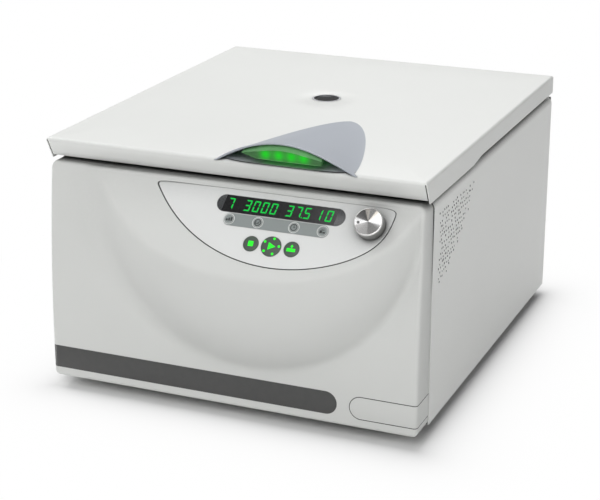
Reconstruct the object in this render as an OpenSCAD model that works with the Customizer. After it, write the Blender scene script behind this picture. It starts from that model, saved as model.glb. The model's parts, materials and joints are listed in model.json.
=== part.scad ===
// Bench butterfat centrifuge: a low sheet metal cabinet with a moulded front,
// a hinged lid over a heated chamber, and a conical rotor with tilted sleeves.

/* [Cabinet] */
// Width over the side panels
cabinet_w = 548; // [540:1:660]
// Depth from the flat lower front to the rear panel
cabinet_d = 630; // [612:1:760]
// Height from the underside to the top of the shoulders
cabinet_h = 315; // [305:1:380]
// Sheet thickness of panels, deck and lid
sheet_t = 1.5; // [1:0.1:2.5]
// Radius of the shoulders along the side panels
shoulder_r = 12; // [8:1:18]
// Depth of the moulded front before the side panels begin
seam_y = 47; // [40:1:55]
// Height of the rubber feet
foot_h = 17; // [12:1:25]
// Diameter of the rubber feet
foot_d = 44; // [30:1:60]
// Gap between the moulded front and the side panels
seam_gap = 0.8; // [0.3:0.1:1.2]
// Diameter of the vent holes
vent_d = 3; // [2:0.1:3.6]

/* [Moulded front] */
// Wall of the moulding
front_wall = 3.5; // [2.5:0.1:5]
// Radius that rounds the front edges
front_edge_r = 5; // [3:0.5:7]
// Radius of the gentle backward lean above the trim band
lean_r = 1900; // [1500:50:3000]
// How far the belly stands out at its middle
belly_h = 76; // [60:1:80]
// Sideways centre of the belly
belly_x = 34; // [20:1:45]
// Half width of the belly
belly_rx = 238; // [220:1:240]
// Reach of the belly below its upper edge
belly_rz = 243; // [235:1:245]

/* [Control panel] */
// Sideways centre of the controls and of the lid handle
controls_x = 84; // [75:1:90]
// Tilt of the panel from upright, in degrees
panel_tilt = 40; // [35:1:42]
// Radius of the long lower arc of the panel
panel_r = 232; // [225:1:240]
// Depth of the panel along its slope
panel_drop = 107; // [104:1:108]
// Reach of the panel to the right of the controls' centre
panel_right = 154; // [150:1:156]
// Thickness of the panel
panel_t = 3; // [2:0.5:4]
// Length of the display window
display_w = 181; // [150:1:218]
// Height of the display window
display_h = 23; // [20:1:25]
// Length of the strip with the select keys
strip_w = 148; // [146:1:160]
// Height of the strip with the select keys
strip_h = 17; // [15:0.5:18]
// Diameter of the start key
start_d = 27.5; // [22:0.5:34]
// Diameter of the stop and lid keys
small_key_d = 21; // [16:0.5:26]
// Diameter of the select keys
select_d = 12.6; // [11:0.2:13]
// Diameter of the setting knob
knob_d = 38.6; // [32:0.2:47]
// Length of the setting knob
knob_h = 17; // [14:0.5:20]

/* [Lid] */
// Overhang of the lid past each side panel
lid_over = 1; // [0.6:0.1:3]
// Width of the slits at the front corners of the lid
corner_slit = 0.9; // [0.5:0.1:1.5]
// Front edge of the lid's top face
lid_front_y = 12.3; // [10:0.1:16]
// Height of the lid's front apron
lid_skirt = 27.5; // [25:0.5:30]
// Backward slope of the apron over its height
apron_slope = 12.9; // [10:0.1:14]
// Radius of the lid's upper edges
lid_edge_r = 4; // [3:0.5:5]
// Gap between the apron and the cabinet
lid_gap = 5.9; // [4:0.1:8]
// Opening angle of the lid, in degrees
lid_open = 75; // [60:1:80]
// Diameter of the sight port
port_d = 36; // [30:1:40]
// Half width of the handle hood
hood_half = 95; // [90:1:100]
// Length of the handle hood
hood_len = 237; // [220:1:250]
// Height of the hood's mouth
hood_h = 33.5; // [30:0.5:36]
// Overhang of the hood in front of the lid
hood_over = 13; // [10:0.5:15]

/* [Chamber and rotor] */
// Place of the rotor axis behind the front
axis_y = 358; // [350:1:362]
// Inner diameter of the chamber
bowl_d = 472; // [390:1:474]
// Wall of the chamber
bowl_wall = 2; // [1.5:0.1:2.5]
// Depth of the chamber below the deck
bowl_depth = 172; // [168:1:176]
// Number of sleeves
sleeves = 12; // [6:2:16]
// Bore of the sleeves
sleeve_bore = 27; // [22:0.5:33]
// Wall of the sleeves
sleeve_wall = 2; // [1.5:0.1:2.5]
// Length of the sleeves
sleeve_len = 105; // [86:1:126]
// Tilt of the sleeves from upright, in degrees
sleeve_tilt = 45; // [43:1:47]
// Room between the circle of sleeve bottoms and the chamber's wall
rotor_room = 31; // [30:1:60]
// Diameter of the drive shaft
shaft_d = 20; // [16:1:26]

/* [Hidden] */

$fn = 64;
eps = 0.01;
part_gap = 0.3;
seat_clear = 0.1;

front_half = cabinet_w / 2 - 1;
side_x = cabinet_w / 2;
trim_z0 = 13.5;
trim_z1 = 46.5;
trim_t = 0.5;
lean_z = 47;
panel_z = cabinet_h - 4;
panel_top = 4;

lid_w = cabinet_w + 2 * lid_over;
lid_z0 = cabinet_h + lid_gap;
lid_z1 = lid_z0 + lid_skirt;
lid_back_y = cabinet_d - 2.7;
lid_inner_z = lid_z1 - sheet_t;

deck_z = cabinet_h - sheet_t;
hinge_y = cabinet_d + 5;
hinge_z = lid_z0 + 6;
hinge_r = 7;
hinge_x = side_x - 94;
rear_most = hinge_y + hinge_r;

cos_t = cos(panel_tilt);
sin_t = sin(panel_tilt);

// Profile of the flat front: upright up to lean_z, then a long arc backwards
function front_base(z) = z < lean_z ? 0 : (z - lean_z) * (z - lean_z) / (2 * lean_r);
// Plane of the control panel and the belly, both as distances in front of the flat front
panel_y = front_base(panel_z);
function plane_out(z) = front_base(z) - panel_y + (panel_z - z) * sin_t / cos_t;
function belly_n(x) = 2.2 + 1.8 * max(0, min(1, (x - belly_x + belly_rx) / (2 * belly_rx)));
function belly_rho(x, z) = norm([(x - belly_x) / belly_rx, (z - cabinet_h + 10) / belly_rz]);
function belly_out(x, z) = belly_h * (1 - pow(belly_rho(x, z), belly_n(x)));
function soft_min(a, b, k) = abs(a - b) >= k ? min(a, b)
    : min(a, b) - (k - abs(a - b)) * (k - abs(a - b)) / (4 * k);
function soft_floor(a, k) = a >= k ? a : a <= -k ? 0 : (a + k) * (a + k) / (4 * k);
ridge_k = 6;
crease_k = 4;
function front_y(x, z) = front_base(z)
    - soft_floor(soft_min(plane_out(z), belly_out(x, z), ridge_k), crease_k);

// Outline of the control panel about the point panel_c, in its own plane: x to the right of the
// controls' centre, s down the slope. The power mean of three edges rounds the corners.
panel_c = [-10, 45];
corner_p = 16;
function arc_reach(u, inset) = let (
        d = [panel_c[0], panel_c[1] - (panel_drop - panel_r)],
        b = d * u,
        r = panel_r - inset
    ) -b + sqrt(b * b - d * d + r * r);
function edge_reach(dist, speed) = speed > eps ? dist / speed : 1e4;
function panel_reach(u, inset) = pow(
        pow(arc_reach(u, inset), -corner_p)
        + pow(edge_reach(panel_c[1] - panel_top - inset, -u[1]), -corner_p)
        + pow(edge_reach(panel_right - panel_c[0] - inset, u[0]), -corner_p), -1 / corner_p);

// Ring loft of the moulded front
side_steps = [28, 15, 24, 15];
turn_steps = 4;
low_r = 7;
// Rounded outline of the moulding, seen from the front, moved in by inset: always as many points
function outline_corners(inset) = let (x = front_half - inset, z = cabinet_h - inset,
        rl = low_r - inset, rt = shoulder_r - inset) [
    [[-x + rl, inset + rl], rl, 180], [[x - rl, inset + rl], rl, 270],
    [[x - rt, z - rt], rt, 0], [[-x + rt, z - rt], rt, 90]
];
function outline_ring(inset) = let (c = outline_corners(inset)) [
    for (k = [0:3])
        let (now = c[k], next = c[(k + 1) % 4],
            turn = [for (i = [0:turn_steps]) let (a = now[2] + 90 * i / turn_steps)
                now[0] + now[1] * [cos(a), sin(a)]],
            goal = next[0] + next[1] * [cos(next[2]), sin(next[2])],
            steps = side_steps[k])
        for (p = concat(turn, [for (i = [1:steps - 1]) turn[turn_steps] + (goal - turn[turn_steps]) * i / steps])) p
];
function to_panel(p) = [p[0] - controls_x, (panel_z - p[1]) / cos_t];
function from_panel(q) = [q[0] + controls_x, panel_z - q[1] * cos_t];
border = outline_ring(front_edge_r);
rays = [for (p = border) to_panel(p) - panel_c];
ray_dir = [for (r = rays) r / norm(r)];
ray_end = [for (r = rays) norm(r)];
ray_start = [for (u = ray_dir) panel_reach(u, 0)];
function panel_outline(inset) = [
    for (i = [0:len(border) - 1])
        let (p = panel_c + panel_reach(ray_dir[i], inset) * ray_dir[i]) [p[0], -p[1]]
];
function at(i, r) = from_panel(panel_c + r * ray_dir[i]);
function over(i, r) = let (p = at(i, r)) belly_out(p[0], p[1]) - plane_out(p[1]);
function under(i, r) = let (p = at(i, r)) belly_out(p[0], p[1]);
function bisect_ridge(i, lo, hi, n) = n == 0 ? (lo + hi) / 2
    : let (m = (lo + hi) / 2) over(i, m) > 0 ? bisect_ridge(i, m, hi, n - 1)
    : bisect_ridge(i, lo, m, n - 1);
function bisect_crease(i, lo, hi, n) = n == 0 ? (lo + hi) / 2
    : let (m = (lo + hi) / 2) under(i, m) > 0 ? bisect_crease(i, m, hi, n - 1)
    : bisect_crease(i, lo, m, n - 1);
function clamp(v, lo, hi) = max(lo, min(hi, v));
ray_ridge = [for (i = [0:len(border) - 1]) let (a = ray_start[i], b = ray_end[i])
    clamp(bisect_ridge(i, a, b, 12), a + 0.12 * (b - a), a + 0.5 * (b - a))];
ray_crease = [for (i = [0:len(border) - 1]) let (a = ray_ridge[i], b = ray_end[i])
    clamp(bisect_crease(i, a, b, 12), a + 0.4 * (b - a), a + 0.9 * (b - a))];
function radius_at(i, zone, f) = let (
        a = [ray_start[i], ray_ridge[i], ray_crease[i]][zone],
        b = [ray_ridge[i], ray_crease[i], ray_end[i]][zone]
    ) a + f * (b - a);
front_rings = [
    [0, 0], [0, 0.55], [0, 0.85], [1, 0], [1, 0.07], [1, 0.2], [1, 0.36], [1, 0.52], [1, 0.68],
    [1, 0.82], [1, 0.92], [2, 0], [2, 0.12], [2, 0.5], [2, 1]
];
back_rings = [[2, 0.5], [2, 0], [1, 0.75], [1, 0.5], [1, 0.25], [1, 0.05]];
function skin_ring(f, push) = [
    for (i = [0:len(border) - 1])
        let (p = at(i, radius_at(i, f[0], f[1]))) [p[0], front_y(p[0], p[1]) + push, p[1]]
];
// Rings of the ledge that carries the panel: moved in from its edge, at a depth square to its plane
ledge_w = 3.5;
ledge_t = 2;
function seat_ring(inset, depth) = [
    for (u = ray_dir)
        let (p = from_panel(panel_c + panel_reach(u, inset) * u))
            [p[0], panel_y - (panel_z - p[1]) * sin_t / cos_t, p[1]] + depth * [0, cos_t, -sin_t]
];
function edge_ring(a) = let (ring = outline_ring(front_edge_r * (1 - sin(a)))) [
    for (i = [0:len(border) - 1])
        [ring[i][0], front_y(border[i][0], border[i][1]) + front_edge_r * (1 - cos(a)), ring[i][1]]
];
function back_edge_ring(y_min) = let (ring = outline_ring(front_wall)) [
    for (i = [0:len(border) - 1])
        [ring[i][0], max(front_y(border[i][0], border[i][1]) + front_edge_r, y_min), ring[i][1]]
];
moulding_rings = concat(
    [for (f = front_rings) skin_ring(f, 0)],
    [for (a = [30, 60, 90]) edge_ring(a)],
    [[for (p = outline_ring(0)) [p[0], seam_y, p[1]]]],
    [[for (p = outline_ring(front_wall)) [p[0], seam_y, p[1]]]],
    [back_edge_ring(0)],
    [for (f = back_rings) skin_ring(f, front_wall)],
    [seat_ring(0, panel_t + ledge_t), seat_ring(ledge_w, panel_t + ledge_t)],
    [seat_ring(ledge_w, panel_t), seat_ring(0, panel_t)]
);
nose_y = min([for (ring = moulding_rings) for (p = ring) p[1]]);
y_shift = -(nose_y + rear_most) / 2;

// Closed skin over rings that wrap in both directions
module ring_skin(rings) {
    rows = len(rings);
    cols = len(rings[0]);
    points = [for (ring = rings) for (p = ring) p];
    function id(r, c) = (r % rows) * cols + c % cols;
    faces = [for (r = [0:rows - 1]) for (c = [0:cols - 1]) for (half = [0, 1])
        half == 0 ? [id(r, c), id(r + 1, c), id(r + 1, c + 1)]
        : [id(r, c), id(r + 1, c + 1), id(r, c + 1)]];
    polyhedron(points, faces);
}

module place() {
    translate([0, y_shift, foot_h]) children();
}

module on_panel() {
    place() translate([controls_x, panel_y, panel_z]) rotate([90 - panel_tilt, 0, 0]) children();
}

module on_axis() {
    place() translate([0, axis_y, 0]) children();
}

module box(x0, x1, y0, y1, z0, z1) {
    translate([x0, y0, z0]) cube([x1 - x0, y1 - y0, z1 - z0]);
}

module stadium(w, h) {
    square([w - h, h], center = true);
    for (s = [-1, 1]) translate([s * (w - h) / 2, 0]) circle(d = h);
}

function arc_points(c, r, a0, a1, n) = [
    for (i = [0:n]) let (a = a0 + (a1 - a0) * i / n) c + r * [cos(a), sin(a)]
];

// Cabinet
tray_flange = 22;
foot_x = side_x - 59;
foot_y0 = seam_y + 63;
foot_y1 = cabinet_d - 60;
module base_tray() {
    x1 = side_x - sheet_t;
    y1 = cabinet_d - sheet_t;
    color("gainsboro") place() difference() {
        union() {
            box(-x1, x1, seam_y, y1, 0, sheet_t);
            for (s = [-1, 1]) {
                xa = s > 0 ? x1 - sheet_t : -x1;
                box(xa, xa + sheet_t, seam_y + 1, y1, 0, tray_flange);
            }
        }
        for (x = [-150:20:150])
            translate([x, foot_y1 - 10, -1]) linear_extrude(4) rotate(90) stadium(46, 6);
    }
}

module feet() {
    color("#2b2b2b") place() for (x = [-foot_x, foot_x]) for (y = [foot_y0, foot_y1])
        translate([x, y, -foot_h]) rotate_extrude() polygon([
            [0, 0], [foot_d / 2 - 4, 0], [foot_d / 2 - 2, 2], [foot_d / 2, foot_h - 5],
            [foot_d / 2, foot_h], [0, foot_h]
        ]);
}

flange_w = 3;
side_y1 = cabinet_d - sheet_t;
module side_skin() {
    rc = [side_x - shoulder_r, cabinet_h - shoulder_r];
    outer = arc_points(rc, shoulder_r, 0, 90, 10);
    inner = arc_points(rc, shoulder_r - sheet_t, 90, 0, 10);
    flange_x = rc[0] - flange_w;
    rotate([90, 0, 0]) linear_extrude(side_y1 - seam_y - seam_gap) polygon(concat(
        [[side_x, 0]], outer, [[flange_x, cabinet_h], [flange_x, cabinet_h - sheet_t]], inner,
        [[side_x - sheet_t, 0]]));
}

// Vent field: scattered holes between the front edge and a falling curve
vent_y0 = seam_y + 26;
vent_z1 = cabinet_h - 25;
vent_dy = 8;
vent_dz = 6.4;
vent_cols = 19;
vent_rows = 16;
vent_shift = 2.1;
scatter = rands(-1, 1, 3 * vent_cols * vent_rows, 11);
function vent_limit(y) = vent_z1 - 100 + 92 * pow(max(0, (y - vent_y0) / 146), 1.35);
module vent_holes() {
    for (row = [0:vent_rows - 1]) for (col = [0:vent_cols - 1]) {
        k = 3 * (row * vent_cols + col);
        y = vent_y0 + (col + (row % 2) / 2) * vent_dy + vent_shift * scatter[k];
        z = vent_z1 - row * vent_dz + vent_shift / 2 * scatter[k + 1];
        if (z > vent_limit(y) + 9 * scatter[k + 2] && scatter[k + 2] < 0.72)
            translate([0, y, z]) rotate([0, 90, 0])
                cylinder(d = vent_d * (1 + 0.15 * scatter[k + 1]), h = 3 * sheet_t, center = true, $fn = 16);
    }
}

module side_panel(s) {
    difference() {
        mirror([s < 0 ? 1 : 0, 0, 0]) translate([0, side_y1, 0]) side_skin();
        translate([s * (side_x - sheet_t / 2), 0, 0]) vent_holes();
    }
}

module side_panel_left() {
    color("gainsboro") place() side_panel(-1);
}

module side_panel_right() {
    color("gainsboro") place() side_panel(1);
}

inlet_x = 84 - side_x;
rocker_x = inlet_x + 60;
power_z = 60;
fan_x = side_x - 124;
fan_z = 110;
fan_d = 110;
module rear_panel() {
    x1 = side_x - sheet_t - 0.2;
    color("gainsboro") place() difference() {
        union() {
            box(-x1, x1, cabinet_d - sheet_t, cabinet_d, 0, cabinet_h - sheet_t);
            box(-x1 + 20, x1 - 20, cabinet_d - 14, cabinet_d - sheet_t, deck_z - 2 * sheet_t, deck_z - sheet_t);
        }
        translate([inlet_x, cabinet_d, power_z]) cube([28, 6, 21], center = true);
        translate([rocker_x, cabinet_d, power_z]) cube([19.6, 6, 13.6], center = true);
        for (r = [12:12:48]) for (a = [0:360 / round(r / 2):359])
            translate([fan_x + r * cos(a), cabinet_d, fan_z + r * sin(a)]) rotate([90, 0, 0])
                cylinder(d = 7, h = 6, center = true, $fn = 24);
    }
}

module front_moulding() {
    color("whitesmoke") place() ring_skin(moulding_rings);
}

// Strip that follows the front and turns round one edge onto the side
module wrap_strip(s, reach) {
    rc = [s * (front_half - front_edge_r), front_edge_r];
    a0 = s > 0 ? -90 : 270;
    a1 = s > 0 ? 0 : 180;
    outer = arc_points(rc, front_edge_r + trim_t, a0, a1, 8);
    inner = arc_points(rc, front_edge_r, a1, a0, 8);
    linear_extrude(400, center = true) polygon(concat(
        [[reach, -trim_t]], outer, [[s * (front_half + trim_t), seam_y - 0.5],
        [s * front_half, seam_y - 0.5]], inner, [[reach, 0]]));
}

module band_window(x_round, s) {
    h = trim_z1 - trim_z0;
    far = s * (front_half + 20);
    translate([0, 60, (trim_z0 + trim_z1) / 2]) rotate([90, 0, 0]) linear_extrude(80) union() {
        translate([x_round, 0]) circle(d = h);
        translate([min(x_round, far), -h / 2]) square([abs(far - x_round), h]);
    }
}

band_end = 144;
module trim_band() {
    color("#4e4e4e") place() intersection() {
        wrap_strip(-1, band_end + 30);
        band_window(band_end, -1);
    }
}

cover_end = side_x - 79;
module corner_cover() {
    color("whitesmoke") place() intersection() {
        wrap_strip(1, cover_end - 30);
        band_window(cover_end, 1);
    }
}

deck_half = side_x - shoulder_r - 2;
slot_x = 30;
striker_y = 62;
module top_deck() {
    color("gainsboro") place() difference() {
        box(-deck_half, deck_half, seam_y, cabinet_d - sheet_t, deck_z - sheet_t, deck_z);
        translate([0, axis_y, deck_z]) cylinder(d = bowl_d + 2 * bowl_wall + 1, h = 10, center = true, $fn = 160);
        translate([controls_x, striker_y + 2, deck_z]) cube([slot_x, 20, 10], center = true);
    }
}

// Chamber
bowl_r = bowl_d / 2;
bowl_z = deck_z - bowl_depth;
bowl_corner = 22;
rim_w = 9;
collar_r = 34;
module bowl() {
    ro = bowl_r + bowl_wall;
    co = bowl_corner + bowl_wall;
    inner = arc_points([bowl_r - bowl_corner, bowl_z + bowl_corner], bowl_corner, 0, -90, 8);
    outer = arc_points([bowl_r - bowl_corner, bowl_z + bowl_corner], co, -90, 0, 8);
    color("silver") on_axis() rotate_extrude($fn = 128) polygon(concat(
        [[ro + rim_w, deck_z + bowl_wall], [bowl_r, deck_z + bowl_wall]], inner,
        [[collar_r + 2, bowl_z], [collar_r + 2, bowl_z + 14], [collar_r, bowl_z + 14],
        [collar_r, bowl_z - bowl_wall]], outer, [[ro, deck_z], [ro + rim_w, deck_z]]));
}

liner_z = lid_z0 + 5;
module bowl_gasket() {
    r0 = bowl_r + bowl_wall + rim_w + 1;
    color("#3a3a3a") on_axis() rotate_extrude($fn = 128) polygon([
        [r0, deck_z], [r0 + 10, deck_z], [r0 + 10, deck_z + 6], [r0 + 7, liner_z - part_gap],
        [r0 + 3, liner_z - part_gap], [r0, deck_z + 6]
    ]);
}

module heater_band() {
    r0 = bowl_r + bowl_wall;
    color("#c8a46a") on_axis() translate([0, 0, bowl_z + 40]) difference() {
        cylinder(r = r0 + 2, h = 60, $fn = 128);
        translate([0, 0, -1]) cylinder(r = r0 + seat_clear, h = 62, $fn = 128);
        translate([0, -r0, 30]) cube([12, 20, 70], center = true);
    }
}

// Control panel, drawn in its own plane
key_clear = 0.3;
display_s = 25;
strip_x = -6;
strip_s = 47.2;
keys_x = -4;
keys_s = 77;
key_space = 4.35;
small_dx = (start_d + small_key_d) / 2 + key_space;
knob_x = 123;
knob_s = 32;
knob_space = 18.2;
display_x = knob_x - knob_d / 2 - knob_space - display_w / 2;
select_x = [-66, -25, 26, 66];
bushing_d = 9;
module control_panel() {
    color("white") on_panel() difference() {
        translate([0, 0, -panel_t]) linear_extrude(panel_t) polygon(panel_outline(part_gap));
        translate([display_x, -display_s, -panel_t - 1]) linear_extrude(panel_t + 2)
            stadium(display_w + 0.3, display_h + 0.3);
        translate([keys_x, -keys_s, -panel_t - 1]) {
            cylinder(d = start_d + 2 * key_clear, h = panel_t + 2);
            for (s = [-1, 1]) translate([s * small_dx, 0, 0])
                cylinder(d = small_key_d + 2 * key_clear, h = panel_t + 2);
        }
        for (x = select_x) translate([strip_x + x, -strip_s, -panel_t - 1])
            cylinder(d = select_d + 2 * key_clear, h = panel_t + 2);
        translate([knob_x, -knob_s, -panel_t - 1]) cylinder(d = bushing_d, h = panel_t + 2);
    }
}

module display_window() {
    color("#1c1c1c") on_panel() translate([display_x, -display_s, -panel_t]) linear_extrude(panel_t + 0.2)
        stadium(display_w, display_h);
}

module display_module() {
    color("#222222") on_panel() translate([display_x, -display_s, -panel_t - 4])
        cube([display_w + 4, display_h + 4, 8], center = true);
}

strip_t = 0.6;
module key_strip() {
    color("#8f9392") on_panel() difference() {
        translate([strip_x, -strip_s, 0]) linear_extrude(strip_t) stadium(strip_w, strip_h);
        for (x = select_x) translate([strip_x + x, -strip_s, -1])
            cylinder(d = select_d + 2 * key_clear, h = 3);
    }
}

board_z = -panel_t - 9.4;
board_t = 1.6;
module circuit_board() {
    color("darkgreen") on_panel() {
        difference() {
            union() {
                translate([-92, -60, board_z - board_t]) cube([232, 54, board_t]);
                translate([-62, -94, board_z - board_t]) cube([118, 40, board_t]);
            }
            translate([knob_x, -knob_s, board_z - 3]) cylinder(d = 7, h = 6);
        }
        for (p = [[-84, 52], [100, 50], [-54, 88], [46, 88]]) translate([p[0], -p[1], board_z])
            cylinder(d = 6, h = -panel_t - board_z);
    }
}

key_back = -4.8;
module key_switches() {
    color("#303030") on_panel() {
        for (s = [-1, 0, 1]) translate([keys_x + s * small_dx, -keys_s, board_z])
            translate([-3, -3, 0]) cube([6, 6, key_back - 1.6 - board_z]);
        for (x = select_x) translate([strip_x + x - 3, -strip_s - 3, board_z])
            cube([6, 6, key_back - 1.6 - board_z]);
    }
}

shaft_r = 3;
encoder_clear = 0.04;
module encoder() {
    color("silver") on_panel() translate([knob_x, -knob_s, 0]) difference() {
        union() {
            translate([-6.5, -6.5, board_z]) cube([13, 13, -panel_t - board_z]);
            translate([0, 0, -panel_t]) cylinder(d = bushing_d - 0.2, h = panel_t);
        }
        translate([0, 0, board_z - 5]) cylinder(r = shaft_r + encoder_clear, h = 20);
    }
}

module knob_shaft() {
    color("gray") on_panel() translate([knob_x, -knob_s, board_z + 1])
        cylinder(r = shaft_r, h = 12 - board_z - 1);
}

knob_gap = 0.6;
module knob() {
    r = knob_d / 2;
    z1 = knob_gap + knob_h;
    color("silver") on_panel() translate([knob_x, -knob_s, 0]) difference() {
        rotate_extrude($fn = 96) polygon([
            [0, knob_gap], [r - 1, knob_gap], [r, knob_gap + 1], [r, z1 - 1.2], [r - 1.2, z1], [0, z1]
        ]);
        translate([0, 0, -1]) cylinder(r = shaft_r, h = 13);
        translate([0, 0, knob_gap - 1]) cylinder(r = 6, h = 2.5);
        translate([-r + 5, 0, z1 + 0.6]) sphere(r = 1.8, $fn = 32);
    }
}

key_proud = 1.2;
module key_cap(x, s, d) {
    on_panel() translate([x, -s, key_back]) rotate_extrude($fn = 64) polygon([
        [0, 0], [d / 2, 0], [d / 2, -key_back + key_proud - 0.5], [d / 2 - 0.5, -key_back + key_proud],
        [0, -key_back + key_proud]
    ]);
}

module stop_key() {
    color("#2a3a2c") key_cap(keys_x - small_dx, keys_s, small_key_d);
}

module start_key() {
    color("#2a3a2c") key_cap(keys_x, keys_s, start_d);
}

module lid_key() {
    color("#2a3a2c") key_cap(keys_x + small_dx, keys_s, small_key_d);
}

module select_key(i) {
    color("#9ca09f") key_cap(strip_x + select_x[i], strip_s, select_d);
}

module select_key_1() { select_key(0); }
module select_key_2() { select_key(1); }
module select_key_3() { select_key(2); }
module select_key_4() { select_key(3); }

// Drive
mount_h = 24;
plate_z = sheet_t + mount_h;
plate_t = 4;
plate_w = 210;
motor_r = 62;
motor_z = plate_z + plate_t;
motor_top = bowl_z - bowl_wall - 16;
boss_r = 26;
boss_z = bowl_z + 10;
bearing_clear = 0.04;
mount_xy = plate_w / 2 - 22;
module motor() {
    color("#50545a") on_axis() difference() {
        union() {
            translate([0, 0, motor_z]) cylinder(r = motor_r, h = motor_top - motor_z, $fn = 96);
            cylinder(r = boss_r, h = boss_z);
        }
        translate([0, 0, -1]) cylinder(r = boss_r + 1, h = motor_z + 1);
        translate([0, 0, motor_z + 10]) cylinder(d = shaft_d + 2 * bearing_clear, h = 200);
        for (a = [0:15:359]) rotate(a) translate([motor_r, 0, motor_z + 8])
            translate([-3, -2, 0]) cube([6, 4, motor_top - motor_z - 16]);
    }
}

module motor_plate() {
    color("silver") on_axis() translate([-plate_w / 2, -plate_w / 2, plate_z])
        cube([plate_w, plate_w, plate_t]);
}

module rubber_mounts() {
    color("#2b2b2b") on_axis() for (x = [-mount_xy, mount_xy]) for (y = [-mount_xy, mount_xy])
        translate([x, y, sheet_t]) rotate_extrude() polygon([
            [0, 0], [15, 0], [12, mount_h / 2], [15, mount_h], [0, mount_h]
        ]);
}

// Rotor: an upright cone carries the tilted sleeves between a rim ring and a clamp ring
sleeve_r = sleeve_bore / 2 + sleeve_wall;
sleeve_circle = bowl_r - rotor_room;
sleeve_z = bowl_z + sleeve_r + 16.5;
sin_s = sin(sleeve_tilt);
cos_s = cos(sleeve_tilt);
sleeve_rest = 0.5;
drop_v = (sleeve_r + seat_clear) / sin_s;
carrier_t = 4;
top_r = sleeve_circle - 83;
rim_lip = 3;
axis_in = [-sin_s, cos_s];
across = [cos_s, sin_s];
sleeve_foot = [sleeve_circle, sleeve_z] - sleeve_rest * axis_in;
gutter = sleeve_foot - (sleeve_r + seat_clear) * across;
rim = sleeve_foot + (sleeve_r + rim_lip) * across;
function cone_z(r) = sleeve_z + (sleeve_circle - r) * cos_s / sin_s - drop_v;
hub_r = 26;
hub_z0 = cone_z(top_r) - 34;
hub_z1 = cone_z(top_r) + 8;
ledge_under = 4;
ledge_below = 3;
module carrier_profile() {
    polygon([
        [shaft_d / 2, hub_z0], [hub_r, hub_z0], [hub_r, cone_z(top_r) - carrier_t],
        [top_r - 2, cone_z(top_r) - carrier_t],
        gutter - carrier_t * across + seat_clear * axis_in, gutter + seat_clear * axis_in,
        [top_r, cone_z(top_r)], [hub_r, cone_z(top_r)], [hub_r, hub_z1], [shaft_d / 2, hub_z1]
    ]);
}

module rotor_carrier() {
    color("#b9bec4") on_axis() rotate_extrude($fn = 128) carrier_profile();
}

// The rim ring stops the sleeves' feet and holds the cone's lower edge on its ledge
module rotor_rim() {
    seat = gutter - (carrier_t + seat_clear) * across;
    low = seat - ledge_below * across;
    color("#b9bec4") on_axis() rotate_extrude($fn = 128) polygon([
        low - carrier_t * axis_in, rim - carrier_t * axis_in, rim, seat,
        seat + ledge_under * axis_in, low + ledge_under * axis_in
    ]);
}

floor_t = 3;
pad_t = 4;
pad_r = sleeve_bore / 2 + 0.5;
module each_sleeve() {
    on_axis() for (i = [0:sleeves - 1]) rotate(360 * (i + 0.5) / sleeves)
        translate([sleeve_circle, 0, sleeve_z]) rotate([0, -sleeve_tilt, 0]) children();
}

module rotor_sleeves() {
    r = sleeve_r;
    color("#d4d7da") each_sleeve() rotate_extrude($fn = 48) polygon([
        [0, 0], [r - 3, 0], [r, 3], [r, sleeve_len], [sleeve_bore / 2, sleeve_len],
        [sleeve_bore / 2, floor_t + pad_t], [pad_r, floor_t + pad_t], [pad_r, floor_t], [0, floor_t]
    ]);
}

module sleeve_pads() {
    color("#2b2b2b") each_sleeve() translate([0, 0, floor_t]) cylinder(r = pad_r, h = pad_t, $fn = 48);
}

clamp_r0 = sleeve_circle - 59;
clamp_r1 = clamp_r0 + 26;
clamp_t = 3;
clamp_lift = 2 * drop_v;
module rotor_clamp_ring() {
    color("#b9bec4") on_axis() rotate_extrude($fn = 128) polygon([
        [clamp_r0, cone_z(clamp_r0) + clamp_lift], [clamp_r1, cone_z(clamp_r1) + clamp_lift],
        [clamp_r1, cone_z(clamp_r1) + clamp_lift + clamp_t],
        [clamp_r0, cone_z(clamp_r0) + clamp_lift + clamp_t]
    ]);
}

pillar_r = 4;
pillar_c = (clamp_r0 + clamp_r1) / 2;
module rotor_pillars() {
    color("silver") on_axis() intersection() {
        rotate_extrude($fn = 128) polygon([
            [clamp_r0, cone_z(clamp_r0)], [clamp_r1, cone_z(clamp_r1)],
            [clamp_r1, cone_z(clamp_r1) + clamp_lift], [clamp_r0, cone_z(clamp_r0) + clamp_lift]
        ]);
        for (i = [0:sleeves / 2 - 1]) rotate(720 * i / sleeves) translate([pillar_c, 0, bowl_z])
            cylinder(r = pillar_r, h = 150, $fn = 32);
    }
}

nut_h = 18;
module drive_shaft() {
    color("silver") on_axis() translate([0, 0, motor_z + 12])
        cylinder(d = shaft_d, h = hub_z1 + 12 - motor_z - 12);
}

module rotor_nut() {
    r = hub_r - 4;
    color("#3a3d40") on_axis() difference() {
        translate([0, 0, hub_z1]) rotate_extrude($fn = 96) polygon([
            [0, 0], [r, 0], [r, nut_h - 3], [r - 3, nut_h], [0, nut_h]
        ]);
        translate([0, 0, hub_z1 - 1]) cylinder(d = shaft_d, h = 13);
        for (a = [0:30:359]) rotate(a) translate([r + 1, 0, hub_z1 - 1]) cylinder(r = 2.4, h = nut_h + 2, $fn = 24);
    }
}

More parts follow.
